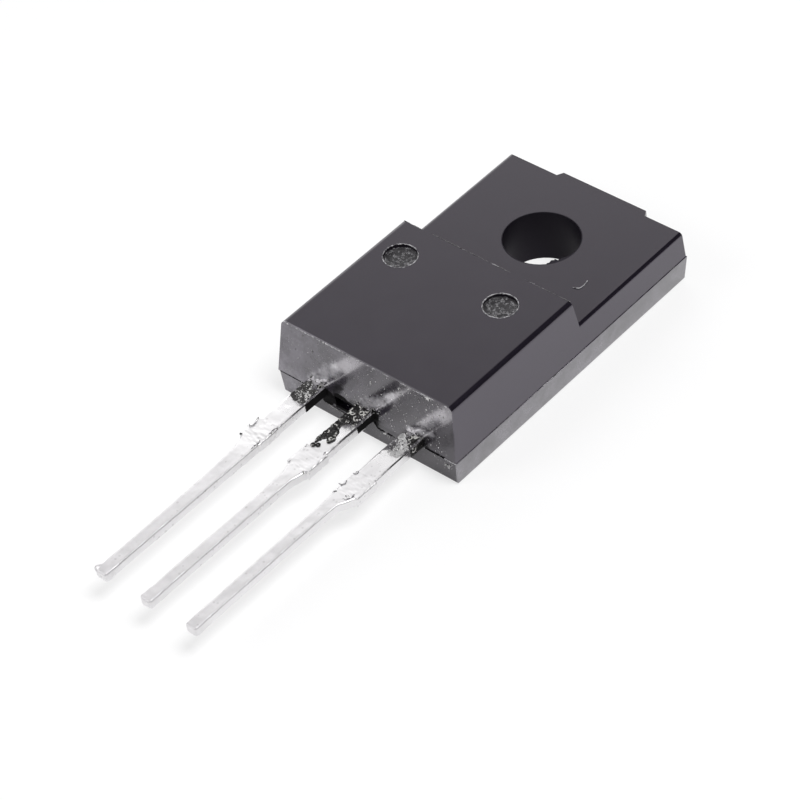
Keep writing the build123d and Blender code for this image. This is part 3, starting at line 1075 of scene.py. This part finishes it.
# Threads are unbroken, so their share of gaps is 0.
for name, line, material, thick, seed, slot in (
    ("ash_and_highlight_thread_under_gate", [on_front(x, z, 0.04) for x, z in lit_thread_places], ash_crumbs, 0.030, 12.0, None),
    ("shadow_line_under_web", [on_front(x, z) for x, z in shadow_line_places], soot_and_painted_shade, 0.065, 13.0, None),
    ("resin_curl_on_tab", curl, flash_with_painted_highlight, 0.036, 15.0, "moulding_resin"),
):
    add_flash(name, line, material, thick, 0.5, 0.0, 0.05, seed, slot)


# %% Slivers where the dam bar was sheared off
def on_lead(side, s, x):
    """A place on top of a lead, from its distance to the body and its place across, in mm."""
    return Vector((side * lead_pitch + x * MM, front_y - s * MM, lead_top + 0.03 * MM))


# Lead, and (distance, place across) of each place of the curled sliver.
slivers = [
    (-1, [(3.65, -0.88), (3.80, -0.76), (3.60, -0.70), (3.25, -0.77)]),
    (-1, [(4.75, 0.22), (4.55, 0.17), (4.35, 0.23), (4.15, 0.18)]),
    (-1, [(3.60, 0.22), (3.35, 0.20), (3.10, 0.22)]),
    (0, [(4.70, 0.36), (4.53, 0.39), (4.38, 0.49), (4.50, 0.60)]),
    (0, [(3.20, 0.42), (3.00, 0.37)]),
    (0, [(4.40, -0.50), (4.28, -0.48)]),
    (1, [(4.10, -0.45), (4.13, -0.31), (3.97, -0.20), (3.80, -0.28)]),
    (1, [(3.30, -0.34), (3.25, -0.19), (3.10, -0.18), (3.08, -0.26)]),
    (1, [(4.70, -0.27), (4.58, -0.31), (4.52, -0.19)]),
    (1, [(4.70, 0.28), (4.65, 0.44), (4.40, 0.56), (4.22, 0.52)]),
]
for number, (side, places) in enumerate(slivers):
    line = [on_lead(side, s, x) for s, x in places]
    thick = 0.034 if side == 1 else 0.024
    add_flash(f"cut_sliver_{number + 1}", line, flash_with_painted_highlight, thick, 0.10, 0.36, 0.09, 80.0 + number, slot=None)

# %% [markdown]
# Where the mould's pin for the screw hole met the upper half, a thin tongue of resin still hangs
# into the hole. It is a flat shape with a jagged inner edge, so plain Python makes its mesh.

# %% Flash in the screw hole
lip_high = tab_top - 0.055 * MM
lip_low = tab_top - 0.085 * MM


def hole_lip(name, first, last, deepest, reach, count=60):
    """A jagged tongue of flash between two angles, in degrees; it reaches deepest at a third one."""
    first, last, deepest = radians(first), radians(last), radians(deepest)
    upper, lower = [], []
    for i in range(count + 1):
        angle = first + (last - first) * i / count
        outward = Vector((cos(angle), sin(angle), 0))
        spread = (deepest - first) if angle < deepest else (last - deepest)
        depth = reach * max(0.0, 1 - abs(angle - deepest) / spread)
        depth *= 0.75 + 0.6 * wobble((angle, 0, 0), 0.06, 3.0) + 0.25 * wobble((angle, 1, 0), 0.025, 4.0)
        for radius in (hole_radius + 0.01 * MM, hole_radius - max(0.004 * MM, depth)):
            upper.append(outward * radius + Vector((0, 0, lip_high)))
            lower.append(outward * radius + Vector((0, 0, lip_low)))
    n = len(upper)
    faces = []
    for i in range(count):
        a, b, c, d = 2 * i, 2 * i + 1, 2 * i + 3, 2 * i + 2
        faces += [(a, b, c, d), (n + a, n + d, n + c, n + b), (b, n + b, n + c, c), (a, d, n + d, n + a)]
    faces += [(0, n, n + 1, 1), (n - 2, n - 1, 2 * n - 1, 2 * n - 2)]
    closed_piece(name, upper + lower, faces, resin, None)


hole_lip("hole_rim_flash", -50, 12, -33, 0.36 * MM)
hole_lip("hole_rim_flash_left", -94, -66, -82, 0.09 * MM, 30)

# %% [markdown]
# ## Crumbs and dust, made with Geometry Nodes
#
# Ash, dust and resin crumbs are hundreds of tiny grains, none alike. The tree scatters points over a
# patch of surface, thickest where the patch's own *dirt* attribute is high, and puts a rough little
# icosphere on each, turned and stretched at random. The patch itself is thrown away.

# %% Crumb tree
crumb_tree, given, out = new_group(
    "crumbs_on_patch",
    "Geometry",
    {"Geometry": "Geometry", "Density": 1e6, "Smallest": 0.01 * MM, "Largest": 0.04 * MM, "Seed": 0},
    {"Geometry": "Geometry"},
)


def pick_random(kind, seed_shift, **limits):
    """A random value for each point; the shift keeps one choice apart from the next."""
    seed = total(crumb_tree, given["Seed"], seed_shift) if seed_shift else given["Seed"]
    return add(crumb_tree, "FunctionNodeRandomValue", {**limits, "Seed": seed}, data_type=kind).outputs


dirt = add(crumb_tree, "GeometryNodeInputNamedAttribute", {"Name": "dirt"}, data_type="FLOAT")
scattered = {
    "Mesh": given["Geometry"],
    "Density": product(crumb_tree, given["Density"], dirt.outputs["Attribute"]),
    "Seed": given["Seed"],
}
points = add(crumb_tree, "GeometryNodeDistributePointsOnFaces", scattered, distribute_method="RANDOM")
ball = add(crumb_tree, "GeometryNodeMeshIcoSphere", {"Radius": 1.0, "Subdivisions": 2})
ball_place = add(crumb_tree, "GeometryNodeInputPosition")
lumps = add(crumb_tree, "ShaderNodeTexNoise", {"Vector": ball_place, "Scale": 1.1, "Detail": 1.0})
centred = vector_node(crumb_tree, "SUBTRACT", lumps.outputs["Color"], (0.5, 0.5, 0.5))
dent = vector_node(crumb_tree, "SCALE", centred, Scale=1.6)
crumb = add(crumb_tree, "GeometryNodeSetPosition", {"Geometry": ball, "Offset": dent})
turn = pick_random("FLOAT_VECTOR", 0, Max=(6.28, 6.28, 6.28))[0]
share = math_node(crumb_tree, "POWER", pick_random("FLOAT", 1)[1], 2.5)
stretch = pick_random("FLOAT_VECTOR", 2, Min=(0.6, 0.6, 0.35), Max=(1.4, 1.4, 0.8))[0]
span = math_node(crumb_tree, "SUBTRACT", given["Largest"], given["Smallest"])
size = total(crumb_tree, given["Smallest"], product(crumb_tree, share, span))
sized = vector_node(crumb_tree, "SCALE", stretch, Scale=size)
placed = {"Points": points, "Instance": crumb, "Rotation": turn, "Scale": sized}
crumbs = add(crumb_tree, "GeometryNodeInstanceOnPoints", placed)
feed(crumb_tree, out, {"Geometry": add(crumb_tree, "GeometryNodeRealizeInstances", {"Geometry": crumbs})})


def patch(name, corner, along, across, steps, dirtiness):
    """A flat grid with a dirt value at each point; dirtiness(point) is from 0 to 1."""
    vertices, faces, values = [], [], []
    na, nb = steps
    for i in range(na + 1):
        for j in range(nb + 1):
            point = corner + along * (i / na) + across * (j / nb)
            vertices.append(point)
            values.append(max(0.0, dirtiness(point)))
    for i in range(na):
        for j in range(nb):
            k = i * (nb + 1) + j
            faces.append((k, k + nb + 1, k + nb + 2, k + 1))
    obj = make_object(name, vertices, faces)
    attribute = obj.data.attributes.new("dirt", "FLOAT", "POINT")
    attribute.data.foreach_set("value", np.array(values, np.float32))
    return obj


per_mm2 = 1e6


def add_crumbs(obj, material, density, smallest, largest, seed):
    """Scatter crumbs over a patch and keep them as a piece: how many on a mm2, and their size in mm."""
    values = dict(Density=density * per_mm2, Smallest=smallest * MM, Largest=largest * MM, Seed=seed)
    shade(run_tree(obj, crumb_tree, **values), 50)
    dress(obj, material)


# %% [markdown]
# Each patch gets a formula for how dirty it is. Ash collects round the lead roots, dust lies in
# loose clouds and mostly on the right, and a few single grains are larger than the rest.

# %% Dirt on the front face
top_mm, lead_top_mm, parting_mm = body_top / MM, lead_top / MM, parting / MM


def face_patch(name, left, right, low, high, dirtiness, steps):
    """A patch on the front face between two places across and two heights, in mm."""
    corner = on_front(left, low)
    along = Vector(((right - left) * MM, 0, 0))
    return patch(name, corner, along, on_front(left, high) - corner, steps, dirtiness)


def front_dirt(point):
    """Ash near the places where the leads come out."""
    closest = min(abs(point.x - side * lead_pitch - side * 0.22 * MM) for side in (-1, 0, 1))
    above = max(0.0, point.z - lead_top)
    near_root = exp(-((closest / (0.75 * MM)) ** 2) - ((above / (0.35 * MM)) ** 2))
    return 0.05 + near_root * max(0.0, 0.4 + 0.9 * wobble(point / MM, 0.5, 2.0))


def dust_share(point):
    """More dust to the right, in loose clouds."""
    clouds = max(0.0, 0.5 + 1.2 * wobble(point / MM, 0.6, 17.0))
    return (0.12 + 0.88 * smooth_step(-0.5, 1.5, point.x / MM)) * clouds


# Single larger grains: place across and height on the front face, and size (mm).
grain_places = [(4.55, 0.90, 0.09), (3.50, 4.12, 0.10), (0.34, 3.29, 0.05), (1.92, 3.85, 0.05)]
grain_places += [(0.99, 0.83, 0.08), (1.20, 0.70, 0.05)]
grains = [(x, z, size, size, 1.0) for x, z, size in grain_places]


def grain_dirt(point):
    """Dirt at the single grains only."""
    return blob_field(grains, point.x / MM, point.z / MM)


def low_face_dirt(point):
    """Dust under the parting line at the right end, and one spot beside the middle lead."""
    x, z = point.x / MM, point.z / MM
    under_edge = exp(-(((parting - point.z) / (0.22 * MM)) ** 2))
    return under_edge * smooth_step(3.2, 4.9, x) + blob_field([(1.7, 1.25, 0.3, 0.14, 0.5)], x, z)


def root_pile(left, right, top, ragged):
    """Residue heaped on the front face just above a lead."""
    def dirtiness(point):
        x, z = point.x / MM, point.z / MM
        inside = smooth_step(left - 0.1, left + 0.1, x) * smooth_step(right + 0.1, right - 0.1, x)
        edge = top + ragged * wobble((x, z, 0), 0.3, 8.0)
        return inside * smooth_step(edge + 0.05, edge - 0.08, z)
    return dirtiness


# %% Crumbs on the front face
# Each patch: its left, right, low and high end (mm), its dirt and its steps.
# Its crumbs: finish, how many on a full mm2, smallest and largest (mm), seed.
face_dirt = {
    "front_face_ash": (-4.6, 4.6, lead_top_mm, top_mm, front_dirt, (120, 30)),
    "front_face_dust": (-4.7, 4.7, parting_mm, top_mm, dust_share, (120, 30)),
    "low_grains": (0.0, 4.9, 0.4, 1.3, grain_dirt, (160, 36)),
    "high_grains": (0.0, 4.9, 3.0, 4.19, grain_dirt, (160, 36)),
    "lower_front_dust": (0.8, 5.0, 0.2, 1.34, low_face_dirt, (80, 30)),
    "centre_root_ash": (-0.7, 0.9, lead_top_mm, 2.6, root_pile(-0.45, 0.55, 2.05, 0.25), (50, 24)),
    "gate_root_ash": (-3.4, -1.4, lead_top_mm, 2.6, root_pile(-3.2, -2.35, 1.98, 0.2), (60, 24)),
    "source_root_burnt_flux": (2.5, 4.0, lead_top_mm, 2.5, root_pile(2.85, 3.60, 1.90, 0.2), (50, 24)),
}
face_crumbs = {
    "front_face_ash": (ash_crumbs, 80, 0.008, 0.045, 5),
    "front_face_dust": (dust, 34, 0.008, 0.036, 21),
    "low_grains": (dust, 900, 0.025, 0.055, 27),
    "high_grains": (dust, 900, 0.025, 0.055, 28),
    "lower_front_dust": (dust, 90, 0.012, 0.045, 22),
    "centre_root_ash": (ash_crumbs, 160, 0.012, 0.055, 23),
    "gate_root_ash": (ash_crumbs, 260, 0.010, 0.050, 24),
    "source_root_burnt_flux": (flux, 300, 0.015, 0.050, 26),
}
for name, crumbs in face_crumbs.items():
    add_crumbs(face_patch(name, *face_dirt[name]), *crumbs)

# %% [markdown]
# Beside the first lead the flux ran down the face of the body and charred to soot, and there is a
# little more beside the middle lead; these near-black films are also painted shade and dark
# reflections there, round the broken web most of all. These films hug the face: a fine grid whose
# points rise out of the resin only inside an outline of soft blobs, and dip back under it elsewhere.

# %% Soot and painted shade on the front face
film_sunk, film_cover = -0.02, 0.024


def face_film(name, left, right, low, high, seed, blobs, thick=0.02, step=0.03):
    """Soot and painted shade on the front face; each blob is place across, height, two half sizes, strength.
    """
    columns, rows = round((right - left) / step), round((high - low) / step)
    vertices, faces = [], []
    for i in range(columns + 1):
        for j in range(rows + 1):
            x, z = left + (right - left) * i / columns, low + (high - low) * j / rows
            field = blob_field(blobs, x, z)
            field += 0.16 * wobble((x, z, 0), 0.22, seed) + 0.10 * wobble((x, z, 0), 0.08, seed + 2)
            rise = smooth_step(0.40, 0.62, field)
            uneven = 0.5 + 0.5 * wobble((x, z, 0), 0.15, seed + 4)
            vertices.append(on_front(x, z, film_sunk + rise * (film_cover + thick * uneven)))
    count = len(vertices)
    vertices += [v + Vector((0, 0.03 * MM, 0)) for v in vertices]
    n = rows + 1
    for i in range(columns):
        for j in range(rows):
            a = i * n + j
            faces.append((a, a + n, a + n + 1, a + 1))
            faces.append((count + a, count + a + 1, count + a + n + 1, count + a + n))
    border = [(j, j + 1) for j in range(rows)]
    border += [(columns * n + j + 1, columns * n + j) for j in range(rows)]
    border += [(i * n + n, i * n) for i in range(columns)]
    border += [(i * n + rows, (i + 1) * n + rows) for i in range(columns)]
    faces += [(a, b, count + b, count + a) for a, b in border]
    closed_piece(name, vertices, faces, soot_and_painted_shade, 60)


# Left, right, low and high end of each film (mm), and its seed; then its blobs.
# These near-black films are soot, and also painted shade and dark reflections on the front face.
films = {
    "soot_and_shade_above_web": (-1.80, -0.4, 1.56, 2.3, 5.0),
    "soot_and_shade_beside_gate": (-2.8, -1.79, 0.55, 2.0, 8.0),
    "soot_and_shade_below_web": (-1.80, -0.5, 0.45, 0.995, 8.0),
    "soot_and_shade_beside_centre": (0.3, 1.5, 1.36, 2.3, 11.0),
}
film_blobs = {
    "soot_and_shade_above_web": [(-1.45, 1.62, 0.42, 0.20, 1.1), (-0.9, 1.52, 0.35, 0.12, 1.0)],
    "soot_and_shade_beside_gate": [(-2.10, 1.30, 0.26, 0.42, 1.3), (-2.35, 0.95, 0.26, 0.24, 1.1)],
    "soot_and_shade_below_web": [
        (-1.75, 0.98, 0.40, 0.17, 1.2),
        (-1.20, 0.97, 0.40, 0.13, 1.1),
        (-0.8, 0.97, 0.30, 0.12, 1.0),
    ],
    "soot_and_shade_beside_centre": [(0.58, 1.62, 0.20, 0.22, 1.2), (0.50, 1.85, 0.16, 0.18, 0.8)],
}
for name, ends in films.items():
    face_film(name, *ends, film_blobs[name])

# %% [markdown]
# Dust and ash also lie on top of the leads, but never beside them, so their patches are cut off at
# the lead's own edges. Where the dam bar was sheared off, dark burrs stand in a row.

# %% Crumbs on the leads
# Heaps of ash: distance from the body, place across the lead, half length, half width (mm), strength.
ash_heaps = {
    -1: [(0.55, -0.30, 0.45, 0.35, 1.0), (0.95, -0.30, 0.35, 0.35, 1.0)],
    0: [(0.6, 0.0, 0.7, 0.50, 0.8), (1.9, -0.15, 0.5, 0.30, 0.7)],
    1: [(1.00, 0.42, 0.38, 0.32, 1.2), (0.50, 0.05, 0.28, 0.24, 1.0), (1.35, 0.20, 0.25, 0.25, 0.8)],
}


def lead_place(side, point):
    """Distance of a point from the body and its place across a lead, in mm."""
    return (front_y - point.y) / MM, (point.x - side * lead_pitch) / MM


def lead_dirt(side, rest):
    """Dirt on top of a lead: its heaps and a little everywhere, but nothing beside the lead."""
    def dirtiness(point):
        s, x = lead_place(side, point)
        left, right = lead_edges(side, s)
        if not left + 0.02 < x < right - 0.02:
            return 0.0
        clumps = max(0.0, 0.7 + 0.8 * wobble((s, x, side), 0.2, 14.0))
        return blob_field(ash_heaps[side], s, x) * clumps + rest
    return dirtiness


def lead_patch(name, side, width, first, last, rise, steps, dirtiness):
    """A patch just above a lead, between two distances from the body, in mm."""
    corner = Vector((side * lead_pitch - width / 2 * MM, front_y - last * MM, lead_top + rise * MM))
    along, across = Vector((width * MM, 0, 0)), Vector((0, (last - first) * MM, 0))
    return patch(name, corner, along, across, steps, dirtiness)


for side, density, largest, seed in ((-1, 150, 0.050, 11), (0, 60, 0.045, 12), (1, 220, 0.042, 13)):
    name = lead_names[side] + "_ash"
    ash_patch = lead_patch(name, side, 1.6, 0.0, 3.6, 0.02, (40, 90), lead_dirt(side, 0.012))
    add_crumbs(ash_patch, dust, density, 0.010, largest, seed)

# Dark burrs where the dam bar was cut: distance from the body and place across the lead (mm).
right_burrs = [(2.80, 0.28), (3.2, 0.27), (3.5, 0.27), (4.3, 0.22), (4.65, 0.20)]
left_burrs = [(3.25, -0.84), (3.75, -0.85), (4.3, -0.82)]
burr_places = {
    -1: right_burrs + left_burrs,
    0: [(4.35, -0.48), (3.15, -0.56), (4.15, 0.56), (4.55, 0.46)],
    1: [(3.13, -0.29), (4.02, -0.30), (4.53, -0.26), (4.42, 0.40), (4.50, 0.30)],
}


def burr_dirt(side):
    """Dirt at the burrs of one lead only."""
    burrs = [(s, x, 0.06, 0.035, 1.0) for s, x in burr_places[side]]
    return lambda point: blob_field(burrs, *lead_place(side, point))


for side in burr_places:
    name = lead_names[side] + "_burrs"
    burr_patch = lead_patch(name, side, 1.9, 2.4, 5.0, 0.012, (76, 104), burr_dirt(side))
    add_crumbs(burr_patch, flux, 900, 0.010, 0.040, 31 + side)


# %% Burst bubbles of flux on the middle lead
def flux_ring(name, s, x, radius, tube, around=28, across=12):
    """A small ring left by a bubble of flux that burst."""
    centre = Vector((x * MM, front_y - s * MM, lead_top + 0.030 * MM))
    vertices, faces = [], []
    for i in range(around):
        a = 2 * pi * i / around
        fat = tube * (1 + 0.3 * wobble((cos(a), sin(a), x), 0.7, 5.0))
        for j in range(across):
            b = 2 * pi * j / across
            reach = radius + fat * cos(b)
            vertices.append(centre + Vector((reach * cos(a), reach * sin(a), fat * sin(b))) * MM)
    for i in range(around):
        for j in range(across):
            k, m = (i + 1) % around, (j + 1) % across
            faces.append((i * across + j, k * across + j, k * across + m, i * across + m))
    closed_piece(name, vertices, faces, flux, 60)


flux_ring("flux_ring_1", 3.00, -0.33, 0.080, 0.042)
flux_ring("flux_ring_2", 2.88, -0.15, 0.078, 0.040)
flux_ring("flux_ring_3", 2.45, 0.10, 0.090, 0.036)

# %% [markdown]
# The mould's support pins were pulled out of the resin just before it was hard, so the floor of each
# mark is torn. A disc of many small facets, raised by noise, covers the plain floor of the CAD part.

# %% Rough floors of the pin marks
floor_base, least_rise = 0.002 * MM, 0.012


def pin_mark_floor(name, centre, seed, rings=26, spokes=96):
    """A rough disc of broken resin on the floor of a pin mark."""
    vertices = [centre]
    for i in range(1, rings + 1):
        vertices += circle_points(centre, pin_mark_radius * 0.995 * i / rings, spokes)
    faces = [(0, 1 + j, 1 + (j + 1) % spokes) for j in range(spokes)]
    for i in range(rings - 1):
        for j in range(spokes):
            a, b = 1 + i * spokes + j, 1 + i * spokes + (j + 1) % spokes
            faces.append((a, a + spokes, b + spokes, b))
    raised = []
    for v in vertices:
        p = v / MM
        rim = smooth_step(0.55, 0.8, (v - centre).length / MM)
        h = 0.05 + 0.05 * wobble(p, 0.22, seed) + 0.03 * wobble(p, 0.09, seed + 1) + 0.03 * rim
        raised.append(Vector((v.x, v.y, v.z + max(least_rise, h) * MM)))
    count = len(raised)
    base = [Vector((v.x, v.y, centre.z + floor_base)) for v in raised[-spokes:]]
    vertices = raised + base + [centre + Vector((0, 0, floor_base))]
    for j in range(spokes):
        a, b = count - spokes + j, count - spokes + (j + 1) % spokes
        c, d = count + j, count + (j + 1) % spokes
        faces.append((a, c, d, b))
        faces.append((c, count + spokes, d))
    closed_piece(name, vertices, faces, broken_resin, 60)


for number, centre in enumerate(pin_marks):
    floor_centre = centre - Vector((0, 0, pin_mark_depth))
    pin_mark_floor(f"pin_mark_floor_{number + 1}", floor_centre, 50.0 + 9 * number)

# %% Finish for the pieces inside the resin
inner_finishes = {
    "die": bare_chip,
    "die_solder": soft_solder,
    "gate_wire": bond_wire,
    "source_wire": bond_wire,
}
for node, material in inner_finishes.items():
    mesh = frame["nodes"][node].data
    mesh.materials.clear()
    mesh.materials.append(material)

# %% [markdown]
# ## Studio
#
# The part lies on a white sweep under one large soft lamp that stands high on the right. A pale wall
# far behind on the left is what the flat tops mirror; the right-hand background is dark, which
# draws dark lines along the rounded edges. For the camera, floor and background are plain white,
# and the floor still takes the part's shadow.

# %% Floor
floor_half = 3.0
floor_corners = [(x * floor_half, y * floor_half, 0) for x, y in ((-1, -1), (1, -1), (1, 1), (-1, 1))]
floor = make_object("studio_floor", floor_corners, [(0, 1, 2, 3)])
floor_paint = bpy.data.materials.new("floor_paint")
floor_paint.use_nodes = True
tree = floor_paint.node_tree
tree.nodes.clear()
matt = add(tree, "ShaderNodeBsdfDiffuse", {"Color": (0.88, 0.88, 0.885, 1.0)})
glow = add(tree, "ShaderNodeEmission", {"Color": (1.0, 1.0, 1.0, 1.0), "Strength": 1.0})
rays = add(tree, "ShaderNodeLightPath").outputs
mirrored = math_node(tree, "MAXIMUM", rays["Is Glossy Ray"], rays["Is Transmission Ray"])
seen = product(tree, rays["Is Camera Ray"], 0.68)
share = math_node(tree, "MAXIMUM", seen, product(tree, mirrored, 0.55))
both = add(tree, "ShaderNodeMixShader", {0: share, 1: matt, 2: glow})
add(tree, "ShaderNodeOutputMaterial", {"Surface": both})
floor.data.materials.append(floor_paint)

# %% World
world = bpy.data.worlds.new("studio")
world.use_nodes = True
bpy.context.scene.world = world
tree = world.node_tree
tree.nodes.clear()
direction = add(tree, "ShaderNodeTexCoord").outputs["Generated"]


def sky_patch(toward, edge, core, brightness):
    """A soft round patch of sky: bright within core, dark beyond edge (cosines)."""
    axis = tuple(Vector(toward).normalized())
    return ramp(tree, vector_node(tree, "DOT_PRODUCT", direction, axis), edge, core, 0.0, brightness)


wall = sky_patch((-0.70, 0.50, 0.51), 0.79, 0.91, 0.95)
low_wall = sky_patch((-0.60, 0.75, 0.25), 0.86, 0.95, 1.0)
softbox = sky_patch((-0.515, -0.70, 0.495), 0.925, 0.975, 3.5)
front_fill = sky_patch((-0.2, -0.9, 0.5), 0.1, 0.9, 0.20)
plain_sky = 0.04
sky = total(tree, wall, plain_sky, low_wall, softbox, front_fill)
studio_sky = add(tree, "ShaderNodeBackground", {"Color": (1, 1, 1, 1), "Strength": sky})
plain_white = add(tree, "ShaderNodeBackground", {"Color": (1, 1, 1, 1), "Strength": 1.0})
seen = add(tree, "ShaderNodeLightPath").outputs["Is Camera Ray"]
chosen = add(tree, "ShaderNodeMixShader", {0: seen, 1: studio_sky, 2: plain_white})
add(tree, "ShaderNodeOutputWorld", {"Surface": chosen})

# %% Lamp
lamp_data = bpy.data.lights.new("soft_lamp", "AREA")
lamp_data.shape = "DISK"
lamp_data.size = 0.22
lamp_data.energy = 1.70
lamp = bpy.data.objects.new("soft_lamp", lamp_data)
bpy.context.scene.collection.objects.link(lamp)
lamp_distance = 0.45
lamp_toward = Vector((0.38, 0.06, 0.92)).normalized()
lamp.location = (cad_low + cad_high) / 2 + lamp_toward * lamp_distance
lamp.rotation_euler = lamp_toward.to_track_quat("Z", "Y").to_euler()
print("lamp at", [round(v, 3) for v in lamp.location])

# %% [markdown]
# ## Camera
#
# The camera looks from the front right, a little less than halfway up, through a long lens, and it
# is tilted slightly to its side. We build its rotation from three named axes instead of guessing
# Euler angles.

# %% Camera
azimuth, elevation, roll = radians(44.2355), radians(43.478), radians(-5.909)
distance = 132.437 * MM
target = Vector((1.050, -11.283, 2.0)) * MM
back = Vector((sin(azimuth) * cos(elevation), -cos(azimuth) * cos(elevation), sin(elevation)))
level = Vector((0, 0, 1)).cross(back).normalized()
upright = back.cross(level)
right = cos(roll) * level + sin(roll) * upright
up = -sin(roll) * level + cos(roll) * upright
camera_data = bpy.data.cameras.new("camera")
camera_data.sensor_width = 36.0
camera_data.lens = 137.886
camera_data.clip_start, camera_data.clip_end = 0.001, 50.0
camera = bpy.data.objects.new("camera", camera_data)
bpy.context.scene.collection.objects.link(camera)
place = target + back * distance
axes = Matrix((right, up, back)).transposed()
camera.matrix_world = Matrix.Translation(place) @ axes.to_4x4()
bpy.context.scene.camera = camera
bpy.context.scene.view_settings.view_transform = "Standard"
print("camera at", [round(v, 4) for v in place])
